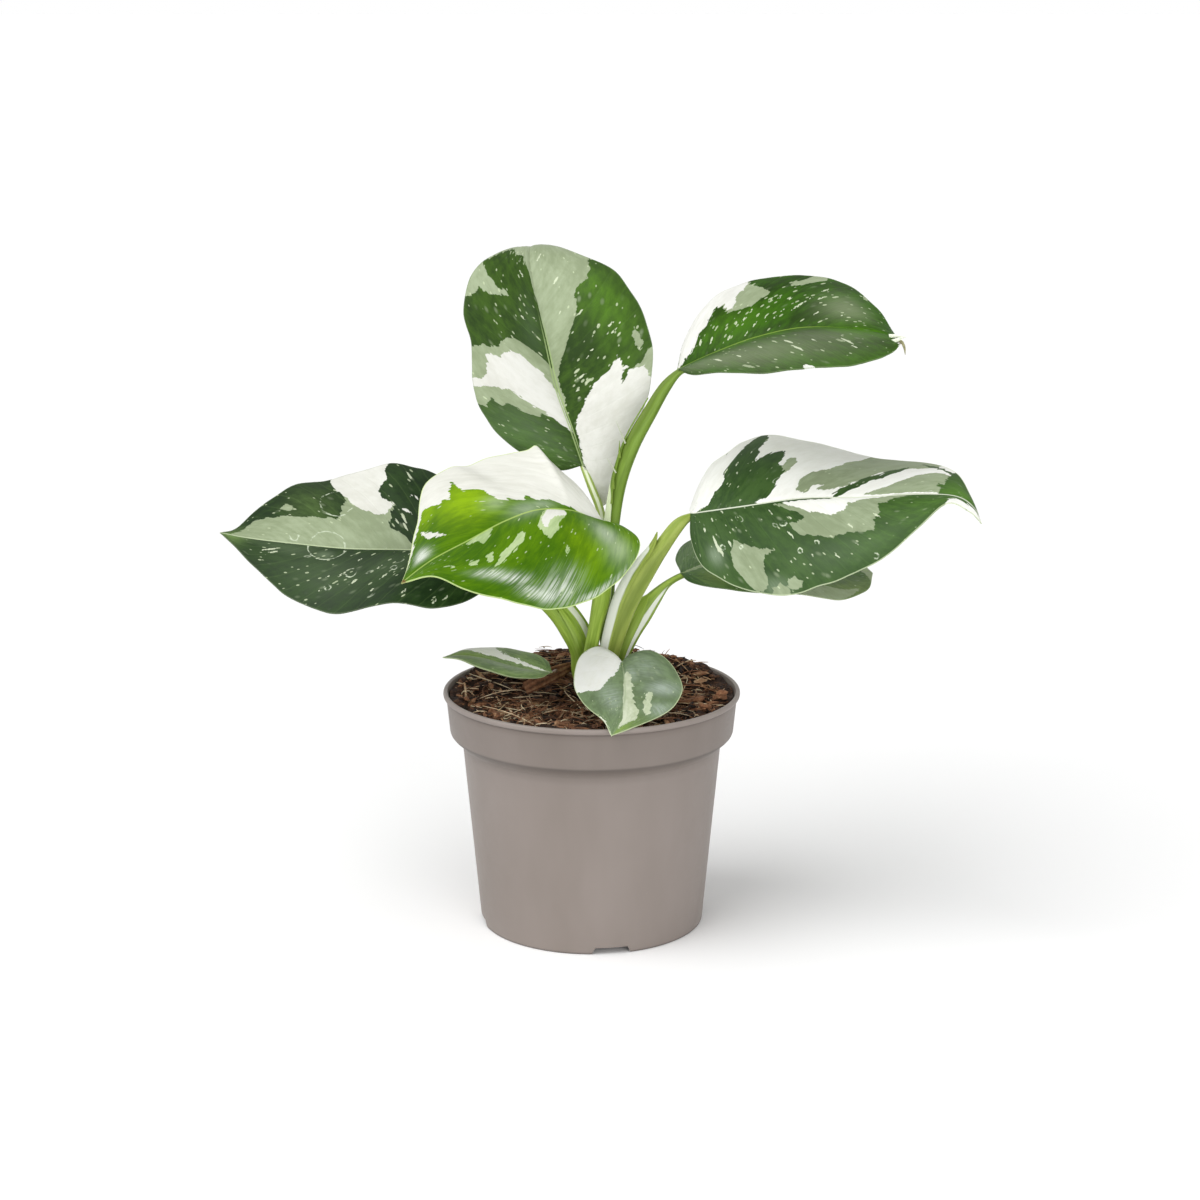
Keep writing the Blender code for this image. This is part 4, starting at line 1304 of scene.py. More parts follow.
# %% Stalk builder
STEM_AXIS = (3.0, 1.0)
LEAN_IN, FOOT_DROP = 0.45, 8      # share of the way to the stem, and mm down, of a foot
RIB_SHARES = (0, 0.06, 0.2, 0.4, 0.6, 0.8, 0.95)
RIB_END = 0.2                     # mm, the midrib's radius at the tip
RIB_GAP = 0.35                    # mm that it lies under the blade's middle
STALK_SIDES, RING_SPACING = 28, 1.1     # faces round a stalk, and mm between its rings
STALK_MAP = 16                    # mm of the map that go round a stalk
CLOSING = 0.008                   # share of a stalk over which either end closes


def whole_stalk(leaf, lines):
    """The stalk's points from its foot at the stem to the end of the midrib."""
    points = [tuple(point) for point in leaf["stalk"]]
    x, y, z, wide, deep = points[0]
    if leaf["clasps"]:
        points.insert(0, (x + LEAN_IN * (STEM_AXIS[0] - x), y + LEAN_IN * (STEM_AXIS[1] - y),
                          z - FOOT_DROP, wide, deep))
    for share in RIB_SHARES:
        radius = leaf["rib"] * (1 - share) ** 0.8 + RIB_END
        middle = place_on(lines["midrib"], [share])[0]
        upward = blade_place(lines, [share ** (1 / SWEEP)], [0])[1][0]
        channel = CHANNEL_DEPTH * min(1, share / 0.02) * (1 - share) ** 0.5
        points.append((*(middle - upward * (radius + RIB_GAP + channel)), radius, radius))
    return points


def make_stalk(name, leaf, lines):
    """A stalk that tapers into the midrib, with its stripes stored on it."""
    frames = stalk_frames(whole_stalk(leaf, lines))
    length = frames["length"]

    def shape(across, along):
        closing = np.clip(np.minimum(along, 1 - along) / CLOSING, 0, 1) ** 0.5
        places = stalk_place(frames, along, across * 360)
        middle = np.stack([np.interp(along, frames["share"], column)
                           for column in frames["centre"].T], axis=-1)
        return middle + (places - middle) * closing[:, None]

    stalk, across, along = shaped_grid(
        name + "_stalk", STALK_SIDES, round(length / RING_SPACING), shape, "vein_map",
        lambda a, b: (a * STALK_MAP / MAP_UNIT, b * length / MAP_UNIT))
    points = stalk_place(frames, along, across * 360)
    stripes = {"stripe": np.full(len(along), -FAR)}
    paint(stripes, [("stripe", outline) for outline in leaf["stripes"]],
          lambda a, b: stalk_place(frames, a / length, b), along * length, across * 360, points)
    store(stalk, **stripes, olive=soft_field(along * length, across * 360, leaf["olive"]))
    stalk.data.materials.append(leaf["stalk_material"])
    weld(stalk)
    return stalk, frames


print("a stalk has a ring every", RING_SPACING, "mm")


# %% Sheath and leaf builders
SHEATH_GAP, SHEATH_THICKNESS = 0.35, 0.45     # mm
SHEATH_MAP = 9                                # mm of the map that go across a sheath


def make_sheath(name, leaf, frames):
    """A thin wing that wraps part of the stalk and ends in a free tip."""
    wing, length = {**SHEATH_DEFAULTS, **leaf["sheath"]}, frames["length"]

    def locate(k, e, outward=0.0):
        """Places on the wing: k runs from its foot to its tip, and e from edge to edge."""
        middle = wing["angle"] + (wing["tip_angle"] - wing["angle"]) * k ** 2
        span = wing["span"] * (1 - k ** wing["narrowing"])
        lip = wing["lip"] * np.clip(-e, 0, 1) ** 1.5 * np.clip((1 - k) / 0.15, 0, 1)
        lift = SHEATH_GAP + wing["flare"] * k ** wing["sharpness"] + lip
        at = (wing["from"] + (wing["to"] - wing["from"]) * k) / length
        return stalk_place(frames, at, middle + e * span, lift + outward)

    sheath, across, along = shaped_grid(
        name + "_sheath", 24, 70, lambda a, b: locate(b, 1 - 2 * a), "vein_map",
        lambda a, b: (a * SHEATH_MAP / MAP_UNIT, b * (wing["to"] - wing["from"]) / MAP_UNIT))
    k, e = along, 1 - 2 * across
    stripes = {"stripe": np.full(len(k), -FAR)}
    paint(stripes, [("stripe", outline) for outline in wing["pale"]], locate, k, e, locate(k, e))
    store(sheath, **stripes, olive=soft_field(k, e, wing["olive"]))
    sheath.data.materials.append(leaf["stalk_material"])
    weld(sheath, closed=False)
    return thicken(sheath, SHEATH_THICKNESS, 0)


def make_leaf(node, piece_name, leaf):
    """A whole leaf that stands for its CAD node."""
    title = piece_name.replace("_", " ")
    leaf = {**LEAF_DEFAULTS, **leaf, "title": title}
    lines = blade_lines(leaf)
    leaf["stalk_material"] = stalk_material(title + " stalk", *leaf["stalk_greens"])
    blade = make_blade(piece_name, leaf, lines)
    stalk, frames = make_stalk(piece_name, leaf, lines)
    parts = [blade, stalk]
    if "sheath" in leaf:
        parts.append(make_sheath(piece_name, leaf, frames))
    parts += [maker(frames) for maker in leaf["extras"]]
    whole = join(parts, piece_name)
    smooth(whole)
    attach(whole, "root")
    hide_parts(node)
    triangles = sum(len(face.vertices) - 2 for face in whole.data.polygons)
    print(piece_name, "- midrib", round(lines["midrib"][2]), "mm,", triangles, "triangles")


print("a sheath is", SHEATH_THICKNESS, "mm thick")


# %% [markdown]
# ## Upper left leaf
#
# It stands nearly upright and shows its upper face. Dark green covers the middle of both
# halves, with a sage wedge up to the tip, a cream sector on the left under a ragged dark
# field, and a cream lobe on the right that runs down to the stalk.

# %% Make the upper left leaf
upper_left = {
    "greens": ("#2a4018", "#3f5c1e", "#55801e", "#6f8a60"),
    "cream": ("#d8d8cf", "#e7e7e1"), "marks": 0.45,
    "flecks": 0.34, "rib_line": ("#a8be82", 0.8, 0.55, 0.72),
    "rim": ("#8a9a80", 0.35), "seed": 1.0,
    "midrib": [(-3, 14, 186), (-8, 17, 200), (-14, 21, 216), (-18, 25, 233), (-22, 31, 250),
        (-25, 40, 265), (-25, 51, 270), (-26, 64, 265)],
    "left": [(-14, 14, 184), (-28, 13, 191), (-41, 13, 203), (-47, 14, 216), (-48, 17, 232),
        (-51, 22, 247), (-48, 29, 261), (-39, 37, 268), (-29, 49, 270)],
    "right": [(0, 15, 175), (5, 15, 169), (11, 14, 180), (19, 13, 203), (23, 14, 218), (24, 18, 234),
        (19, 24, 249), (9, 32, 262), (-7, 43, 268), (-18, 54, 270)],
    "stalk": [(-0.6, 7.7, 103, 2.6, 2.6), (0, 8.6, 112, 2.6, 2.4), (2.2, 10, 124, 2.3, 2.1),
        (5, 10.5, 140, 2.2, 2), (5.4, 11, 156, 2, 1.9), (3.4, 12, 168, 1.7, 1.7),
        (0, 13, 177, 1.6, 1.6)],
    "stalk_greens": ("#8ba046", "#b2c574", "#dfe6c8"),
    "stripes": [[(60, 60), (96, 60), (96, 100), (60, 100)]],
    "rows": 160, "wave": 0.35, "rib": 1.1,
    "glow": [(0.65, 0.70, 0.13, 0.24, 1.0), (0.2, -0.6, 0.12, 0.4, 0.45)],
    "painted_sheen": [(0.24, -0.75, 0.14, 0.5, 0.4), (0.62, -0.15, 0.1, 0.15, 0.25)],
    "fleck_zones": [(.55, .5, .08, .2, 1.1), (.46, .3, .08, .2, 1.0), (.35, .12, .1, .1, .9),
        (.56, .85, .05, .12, .9), (.82, -.5, .05, .25, 1.0), (.5, .6, .05, .15, .8)],
    "dashes": [(.775, -.29, 2.5), (.64, .42, 3), (.585, .67, 4), (.565, .67, 3), (.565, .61, 2),
        (.465, .29, 3.5), (.515, .36, 2), (.595, .28, 2), (.75, .31, 4), (.84, .22, 3), (.618, -.55, 2),
        (.642, -.26, 2), (.655, -.1, 2), (.58, .74, 2), (.59, .53, 2), (.532, .42, 2), (.422, .22, 2),
        (.66, .22, 1.5)],
    "patches": [
        ("sage", [(.45, .02), (.505, .07), (.545, .14), (.6, .26), (.655, .40), (.684, .42), (.71, .52),
          (.72, .68), (.75, .8), (.80, 1.05), (1, 1.05), (1, -1.05), (.76, -1.05), (.77, -.97),
          (.82, -.93), (.85, -.84), (.83, -.55), (.84, -.3), (.8, -.1), (.72, 0)]),
        ("sage", [(.76, -1.05), (.73, -.88), (.698, -.66), (.695, -.5), (.688, -.43), (.68, -.5),
          (.672, -.6), (.668, -.7), (.675, -.87), (.65, -.9), (.63, -1.05)]),
        ("sage", [(.5, 0), (.525, -.05), (.541, -.16), (.564, -.36), (.558, -.5), (.53, -.62),
          (.508, -.64), (.51, -.8), (.502, -1.05), (.40, -1.05), (.40, -.5), (.40, 0)]),
        ("cream", [(.42, 0), (.489, -.18), (.522, -.38), (.524, -.46), (.514, -.58), (.494, -.64),
          (.495, -.82), (.44, -.82), (.42, -.9), (.42, -1.05), (.39, -1.05), (.402, -.83), (.404, -.7),
          (.4, -.54), (.38, -.45), (.353, -.35), (.338, -.25), (.287, -.1), (.24, 0)]),
        ("sage", [(.395, -1.05), (.402, -.83), (.4, -.54), (.353, -.35), (.32, -.37), (.344, -.49),
          (.36, -.64), (.352, -.73), (.382, -.83), (.34, -.9), (.355, -1.05)]),
        ("cream", [(.30, .1), (.392, .3), (.422, .37), (.453, .46), (.46, .55), (.48, .6), (.503, .66),
          (.475, .7), (.463, .78), (.466, .88), (.47, .94), (.49, 1.05), (0, 1.05), (0, .12),
          (.2, .08)]),
        ("green", [(.47, .69), (.463, .77), (.425, .73), (.425, .68)]),
        ("sage", [(.5, .95), (.5, 1.05), (.42, 1.05), (.44, .97), (.465, .92)]),
        ("sage", [(.505, .87), (.52, .84), (.545, .83), (.565, .87), (.55, .9), (.52, .92)])]}
make_leaf("leaf_upper_left", "upper_left_leaf", upper_left)


# %% [markdown]
# ## Upper right leaf
#
# It reaches out to the right on the longest stalk, seen from a low angle. Its far half
# is dark green sprinkled with flecks, with a cream lobe at the base, its near half is
# green under a broad painted sheen that makes it grey-green, and its tip ends in a small
# dry brown hook. The sheath on its stalk has a pale stripe, and its edge is torn into a
# few splinters.

# %% Torn splinters on a sheath
# mm up the stalk, degrees round it, length in mm, lean away from it
SPLINTERS = ((80, 118, 7, 0.06), (86, 127, 7, 0.12), (92, 145, 7, 0.3), (98, 147, 7, 0.12),
             (104, 158, 10, 0.25))
SPLINTER_FOOT, SPLINTER_TIP = 0.65, 0.06      # mm, radii
STANDS_OFF = 0.8                              # mm from the stalk
PALE_LEAN = 0.15                              # splinters that lean out further are pale


def splinters(frames):
    """A few thin splinters that stand off the left side of a stalk."""
    made = []
    for along, degrees, length, lean in SPLINTERS:
        at = np.array([along, along + 6]) / frames["length"]
        near, ahead = stalk_place(frames, at, np.array([degrees] * 2), STANDS_OFF)
        middle = np.interp(at[0], frames["share"], frames["centre"][:, 0])
        direction = Vector(ahead - near).normalized() + Vector((near[0] - middle, 0, 0)) * lean
        bpy.ops.mesh.primitive_cone_add(vertices=8, radius1=SPLINTER_FOOT * MM,
                                        radius2=SPLINTER_TIP * MM, depth=length * MM)
        splinter = bpy.context.object
        turn = direction.to_track_quat("Z", "Y").to_matrix().to_4x4()
        place = Matrix.Translation(Vector(near) * MM + direction.normalized() * length * 0.4 * MM)
        splinter.data.transform(place @ turn @ Matrix.Diagonal((1, 0.6, 1, 1)))
        splinter.data.uv_layers[0].name = "vein_map"
        store(splinter, stripe=1.0 if lean > PALE_LEAN else -1.0, olive=0.9)
        splinter.data.materials.append(stalk_tissue)
        made.append(splinter)
    return join(made, "splinters")


print("splinters:", len(SPLINTERS))


# %% Withered leaf tip
# Each sliver's points, as x, y, z and half width in mm: two papery ones and a brown hook
PAPERY = ([(116, -4, 240.5, 0.8), (119.5, -5, 240.6, 0.6), (122.4, -6, 240.2, 0.1)],
          [(117, -6, 238.5, 0.9), (119.5, -7, 239.6, 0.6), (121.6, -8, 240.6, 0.1)])
BROWN_HOOK = [(118.5, -5.5, 239.5, 0.5), (120.6, -6, 238.6, 0.6), (121.8, -6.5, 236.4, 0.5),
              (122.2, -7, 233.6, 0.1)]
SLIVER_DEPTH = 0.18


def dry_sliver(points, tissue):
    """A thin dry sliver along a few points."""
    frames = stalk_frames([(x, y, z, wide, SLIVER_DEPTH) for x, y, z, wide in points])
    sliver, _, _ = shaped_grid(
        "sliver", 10, 24, lambda a, b: stalk_place(frames, b, a * 360), "vein_map")
    store(sliver, stripe=1.0, olive=0.0)
    sliver.data.materials.append(tissue)
    return weld(sliver)


def withered_tip(frames):
    """The papery points and the brown hook at the end of a leaf. They need no stalk frame."""
    slivers = [dry_sliver(points, stalk_tissue) for points in PAPERY]
    return join(slivers + [dry_sliver(BROWN_HOOK, dry_tissue)], "withered_tip")


dry_tissue, add = new_material("withered leaf tip")
blotch = add("TexNoise", {"Vector": add("TexCoord", output="Object"), "Scale": 1 / (1.2 * MM),
                          "Detail": 3.0})
shades = add("ValToRGB", (blotch,))
fill_ramp(shades, [(0.35, "#6a6748"), (0.65, "#97946e")])
skin = add("BsdfPrincipled", {"Base Color": shades, "Roughness": 0.7})
add("OutputMaterial", {"Surface": skin})
print("slivers at the tip:", len(PAPERY) + 1)


# %% Make the upper right leaf
upper_right = {
    "greens": ("#233d08", "#36600c", "#558a12", "#7c8a68"),
    "cream": ("#dfdfd8", "#efefea"), "marks": 0.25, "shine": 0.1,
    "stalk_greens": ("#587224", "#779438", "#cfdab4"),
    "flecks": 0.3, "rib_line": ("#93b350", 0.8, 0.0, 0.85),
    "rim": ("#93a57a", 0.3), "seed": 2.0,
    "midrib": [(33.8, 4, 226.5), (48, 4, 233), (64, 4, 239), (82, 3, 243), (101, 1, 243),
        (115, -2, 241), (121, -5, 238)],
    "left": [(34.6, 10, 229.5), (36, 14, 234.5), (39.5, 19, 241), (44, 23, 247), (50, 28, 252.8),
        (58, 31, 256.2), (70, 32, 259), (90, 31, 260), (103, 25, 257), (113, 14, 249), (118, 4, 242)],
    "right": [(39.5, -8, 226), (51, -20, 228.6), (68, -28, 230), (87, -30, 232), (105, -24, 233),
        (116, -13, 235)],
    "stalk": [(6.9, 7.8, 103, 2.9, 2.8), (6.8, 6.6, 113, 2.8, 2.4), (6, 5.2, 124, 2.8, 2.2),
        (6.6, 4.6, 140, 2.9, 2.2), (7.6, 3.6, 156, 2.9, 2.2), (9.2, 3, 171, 2.9, 2.2),
        (11.8, 2, 184, 3, 2.4), (16.4, 2, 197, 3.2, 2.4), (23, 3, 209, 2.9, 2.2),
        (29, 4, 219, 2.4, 2.0)],
    "rows": 140, "wave": 0.3, "rib": 1.2,
    "sheath": {"from": 6, "to": 123, "angle": 142, "tip_angle": 200, "span": 62, "flare": 0.5,
        "narrowing": 3, "pale": [[(.49, -1.05), (.62, -1.05), (.68, -.4), (.72, .5), (.68, 1.05),
        (.49, 1.05)]], "olive": [(0.85, 0.3, 0.12, 0.6, 0.8)]},
    "olive": [(118, 150, 26, 40, .7), (60, 150, 30, 50, .5)],
    "extras": [splinters, withered_tip],
    "soft_painted_sheen": [(.775, -.47, .06, .18, .5)],
    "painted_sheen": [(.77, -.47, .09, .3, .8), (.4, .55, .4, .36, .85), (.7, .4, .2, .28, .6)],
    "dashes": [(.667, -.7, 4), (.675, -.52, 3), (.628, -.39, 5), (.613, -.32, 3), (.58, -.49, 2.5),
        (.54, -.52, 2), (.645, -.49, 2), (.52, -.23, 2), (.487, -.17, 3), (.435, -.29, 2.5),
        (.46, -.08, 2.5), (.405, -.26, 2), (.383, -.11, 2.5), (.295, -.17, 3), (.233, -.26, 3),
        (.578, .43, 5), (.585, .6, 6), (.768, .53, 6), (.775, .67, 3.5), (.66, .48, 3),
        (.375, .54, 2.5), (.285, .53, 4.5), (.473, .4, 3.5), (.78, -.3, 2), (.698, -.24, 2.5),
        (.512, -.51, 2), (.575, -.31, 2), (.56, -.22, 2), (.458, -.4, 2)],
    "glow": [(.35, -.3, .15, .25, .5), (.8, .95, .2, .25, .4), (.5, .06, .3, .07, .6),
        (.85, .1, .1, .3, .6)],
    "fleck_zones": [(.38, -.25, .1, .3, 1.1), (.5, -.5, .12, .3, 1.25), (.62, -.65, .12, .25, 1.1),
        (.26, -.5, .08, .3, .8), (.75, -.3, .12, .2, .8), (.62, .4, .2, .2, .6)],
    "patches": [
        ("cream", [(0, 0), (.1, -.12), (.19, -.27), (.235, -.43), (.27, -.5), (.305, -.68),
          (.345, -.65), (.35, -.5), (.375, -.52), (.385, -.64), (.395, -.72), (.405, -.88), (.4, -1.05),
          (0, -1.05)]),
        ("sage", [(.385, -.55), (.382, -.68), (.387, -.8), (.44, -.82), (.465, -.77), (.5, -.64),
          (.487, -.58), (.47, -.55), (.45, -.47), (.425, -.46), (.398, -.52)]),
        ("sage", [(.54, -.82), (.585, -.9), (.6, -1.05), (.63, -1.05), (.64, -.93), (.595, -.78),
          (.56, -.72)]),
        ("sage", [(.76, -.93), (.78, -1.05), (.79, -.95)]),
        ("sage", [(.74, .48), (.78, .53), (.77, .56), (.73, .5)]),
        ("sage", [(.35, .83), (.42, .88), (.42, .84), (.36, .81)]),
        ("cream", [(.55, .96), (.565, .93), (.585, .97), (.59, 1.05), (.55, 1.05)]),
        whole_tip("cream", .975),
        whole_tip("brown", .988)]}
make_leaf("leaf_upper_right", "upper_right_leaf", upper_right)


# %% [markdown]
# ## Right leaf
#
# The widest leaf. Its far half is cream, with dark green fingers that reach in from the
# midrib along the side veins, and a sage band further out. The near half is dark green
# with sage islands. Its stalk has the broadest sheath, with a white edge and a free
# green tip.

# %% Make the right leaf
right = {
    "greens": ("#324b25", "#435f2f", "#5d8733", "#87987e"),
    # Its cream is brighter than the other leaves' as painted light, against the shade of the leaf above
    # it
    "cream": ("#efefe8", "#fafaf6"), "marks": 0.4, "speck": 0.75, "shine": 0.14,
    "sage": ("#8c9978", "#a2af8f"),
    "stalk_greens": ("#7b8f3a", "#a2b258", "#e6ebdd"),
    "flecks": 0.28, "drops": 0.22, "rib_line": ("#e2e8d4", 0.95, 0.0, 1.2),
    "rim": ("#d3e0b8", 0.6), "seed": 3.0,
    "midrib": [(39, -8, 171), (58, -10, 174), (82, -13, 178), (105, -16, 179), (126, -20, 181),
        (141, -24, 181), (148, -27, 177), (151, -29, 171)],
    "left": [(39.2, 2, 171.5), (43, 9, 179.3), (48.3, 16, 185.7), (55.3, 20.5, 190), (62, 25, 193.8),
        (72, 29, 196), (91, 26, 193), (112, 17, 189), (131, 6, 189), (143, -9, 187), (148, -22, 180)],
    "right": [(39, -17, 162), (44, -27, 153), (57, -34, 147), (75, -38, 145), (94, -38, 150),
        (111, -36, 158), (125, -33, 169), (137, -30, 179), (146, -30, 176)],
    "stalk": [(6.4, -6.2, 103, 3.2, 2.9), (7.2, -7, 112, 3.6, 2.6), (9.6, -9, 123, 4.3, 2.6),
        (13.9, -10, 136, 5, 2.8), (20, -10, 147, 4.8, 2.8), (27.4, -9.6, 157, 3.3, 2.4),
        (34, -9, 166, 2.7, 2.2)],
    "rows": 170, "wave": 0.45, "rib": 1.3,
    "sheath": {"from": 5, "to": 73, "angle": 145, "tip_angle": 156, "span": 48, "flare": 2.4,
        "narrowing": 9, "sharpness": 14, "pale": [[(0, -.7), (.4, -.75), (.7, -.6), (.88, -.5),
        (.92, 1.05), (0, 1.05)]], "olive": [(1, -.5, .08, .8, .6)]},
    "stripes": [[(0, 112), (40, 112), (40, 200), (0, 200)]],
    "olive": [(36, 70, 26, 26, 1.0), (62, 70, 16, 30, .8)],
    "glow": [(.85, .5, .12, .5, .6), (.92, -.2, .06, .6, .8), (.68, .75, .1, .2, .4)],
    "painted_sheen": [(.215, .74, .025, .12, .9), (.6, .75, .15, .2, .2), (.39, .93, .04, .1, .6)],
    "fleck_zones": [(.2, .3, .12, .2, .9), (.62, .6, .12, .2, .9), (.34, .7, .08, .3, .8),
        (.28, -.5, .08, .4, .7), (.5, .85, .1, .15, .8)],
    "dashes": [(.238, -.59, 3), (.278, -.6, 2.5), (.283, -.45, 2), (.465, .24, 2.5), (.455, .44, 4),
        (.7, .4, 3), (.357, -.72, 2), (.307, -.91, 1.5), (.323, -.7, 2), (.11, -.1, 2), (.185, .21, 2),
        (.16, .43, 2), (.225, .06, 2), (.302, -.07, 2), (.408, .14, 3), (.265, .54, 3), (.62, .46, 3),
        (.698, .03, 2), (.215, .58, 6), (.235, .66, 4), (.62, .7, 2), (.5, .7, 2), (.56, .76, 3),
        (.44, .7, 2)],
    "rings": [(.44, .3, 1.3), (.24, .6, 1.0), (.47, .62, 1.1), (.52, .58, 1.0), (.66, .93, 1.0),
        (.3, .55, .8)],
    "patches": [
        ("cream", [(0, 0), (1, 0), (1, -1.05), (0, -1.05)]),
        ("green", [(.05, .02), (.05, 0), (.17, -.15), (.2, -.3), (.235, -.42), (.23, -.6), (.29, -.82),
          (.33, -.98), (.355, -1.02), (.36, -.9), (.35, -.78), (.338, -.52), (.37, -.64), (.4, -.71),
          (.417, -.74), (.41, -.58), (.405, -.47), (.432, -.5), (.425, -.35), (.42, -.2), (.4, -.06),
          (.3, .02)]),
        ("sage", [(.42, -.48), (.43, -.62), (.445, -.62), (.455, -.55), (.44, -.42), (.43, -.35)]),
        ("sage", [(.49, -.1), (.485, -.28), (.51, -.41), (.55, -.5), (.575, -.7), (.6, -.82),
          (.61, -1.05), (.8, -1.05), (.79, -.86), (.753, -.72), (.71, -.62), (.672, -.5), (.645, -.33),
          (.618, -.2), (.585, -.12), (.545, -.13), (.56, -.2), (.53, -.18), (.525, -.08)]),
        ("green", [(.6, .02), (.61, -.12), (.63, -.25), (.655, -.38), (.68, -.45), (.70, -.6),
          (.73, -.72), (.72, -.55), (.70, -.4), (.67, -.28), (.65, -.15), (.625, -.03)]),
        ("sage", [(.68, -.03), (.72, -.16), (.745, -.3), (.765, -.45), (.8, -.68), (.86, -.85),
          (.88, -.5), (.88, -.06), (.8, -.05)]),
        ("green", [(.845, -.4), (.87, -.4), (.87, -.3), (.845, -.32)]),
        ("green", [(.75, -.9), (.87, -.9), (.87, -.84), (.75, -.85)]),
        ("green", [(.84, -1.05), (1, -1.05), (1, 0), (.87, 0), (.86, -.4), (.845, -.8)]),
        ("sage", [(.42, -.01), (.46, .08), (.5, .13), (.52, .25), (.5, .3), (.46, .3), (.465, .38),
          (.475, .46), (.52, .5), (.56, .56), (.617, .54), (.68, .6), (.685, .48), (.71, .37),
          (.715, .22), (.705, .17), (.74, .12), (.745, -.01)]),
        ("cream", [(.43, -.01), (.47, .08), (.53, .2), (.58, .28), (.62, .22), (.64, .1), (.70, .04),
          (.75, .02), (.75, -.01)]),
        ("sage", [(.275, .47), (.33, .53), (.4, .56), (.37, .63), (.365, .72), (.37, .84), (.365, .95),
          (.34, 1.0), (.305, .9), (.275, .8), (.268, .66)]),
        ("sage", [(.425, .86), (.44, .84), (.462, .9), (.455, .96), (.43, .95), (.42, .9)]),
        ("sage", [(.375, .93), (.4, .88), (.42, .95), (.415, 1.05), (.38, 1.05)]),
        ("green", [(.24, -.006), (.6, -.006), (.62, .01), (.58, .03), (.3, .035), (.24, .02)]),
        ("cream", [(.9, .5), (.95, .35), (1, .2), (1, 1.05), (.88, 1.05)]),
        whole_tip("cream", .985)]}
make_leaf("leaf_right", "right_leaf", right)


# %% [markdown]
# ## Small right leaf
#
# It lies behind the right leaf, lower down, and is nearly plain: grey-green at its base,
# partly from a painted sheen, with a pale midrib, and olive towards its tip, partly from
# painted light. Its stalk has a short open sheath with a pale stripe.

# %% Make the small right leaf
right_small = {
    "greens": ("#3a5630", "#52723a", "#93a65a", "#8a9a7c"),
    "cream": ("#e2e2d9", "#eeeee8"), "marks": 0.4,
    "sheen_lines": 0.5, "flecks": 0.2, "drops": 0.1, "rib_line": ("#9db083", 0.7, 0.0, 1.1),
    "rim": ("#9aa982", 0.35), "seed": 4.0,
    "midrib": [(36, 8, 143), (46, 9, 146), (62, 11, 148), (80, 13, 147), (99, 14, 145), (114, 12, 142)],
    "left": [(34, 16, 148), (40, 27, 152), (55, 36, 154), (74, 38, 155), (92, 34, 153), (106, 23, 148)],
    "right": [(39, 2, 141), (49, -6, 140), (65, -12, 140), (83, -13, 139), (100, -8, 136),
        (111, 3, 137)],
    "stalk": [(11, 1.7, 103, 3, 3), (12, 2, 110, 3.4, 2.8), (15.6, 3, 119, 4, 2.6),
        (20.4, 4, 127, 4.2, 2.4), (25, 5, 133, 3.2, 2.2), (30.5, 7, 138.6, 1.6, 1.6)],
    "stalk_greens": ("#6f8a2e", "#9ab54c", "#e6ebdd"),
    "rows": 110, "wave": 0.3, "rib": 1.1,
    "sheath": {"from": 5, "to": 43, "angle": 125, "tip_angle": 128, "span": 55, "flare": 1.4,
        "narrowing": 6, "pale": [[(0, .4), (.85, .45), (.8, .85), (0, .8)]],
        "olive": [(.5, -.2, .4, .4, .8)]},
    "stripes": [[(4, 48), (30, 44), (48, 48), (54, 60), (46, 80), (4, 84)]],
    "olive": [(28, 10, 30, 24, .8)],
    "painted_sheen": [(.12, -.5, .2, .5, .45), (.8, .7, .3, .4, .3)],
    "glow": [(.8, .9, .2, .3, .6), (.25, .6, .1, .3, .4)],
    "patches": [("sage", [(.05, -.04), (.3, -.05), (.3, .06), (.05, .12)]),
                ("sage", [(.55, .8), (.7, .75), (.85, .9), (.7, 1.05), (.55, 1.05)]),
                whole_tip("sage", .95)]}
make_leaf("leaf_right_small", "small_right_leaf", right_small)


# %% [markdown]
# ## Front left leaf
#
# The freshest leaf is a bright lime green and curls down in front. Its far half is
# almost wholly cream up to the midrib, with lime fingers further out. A painted sheen in
# fine lines along the side veins lies where the near half turns down.

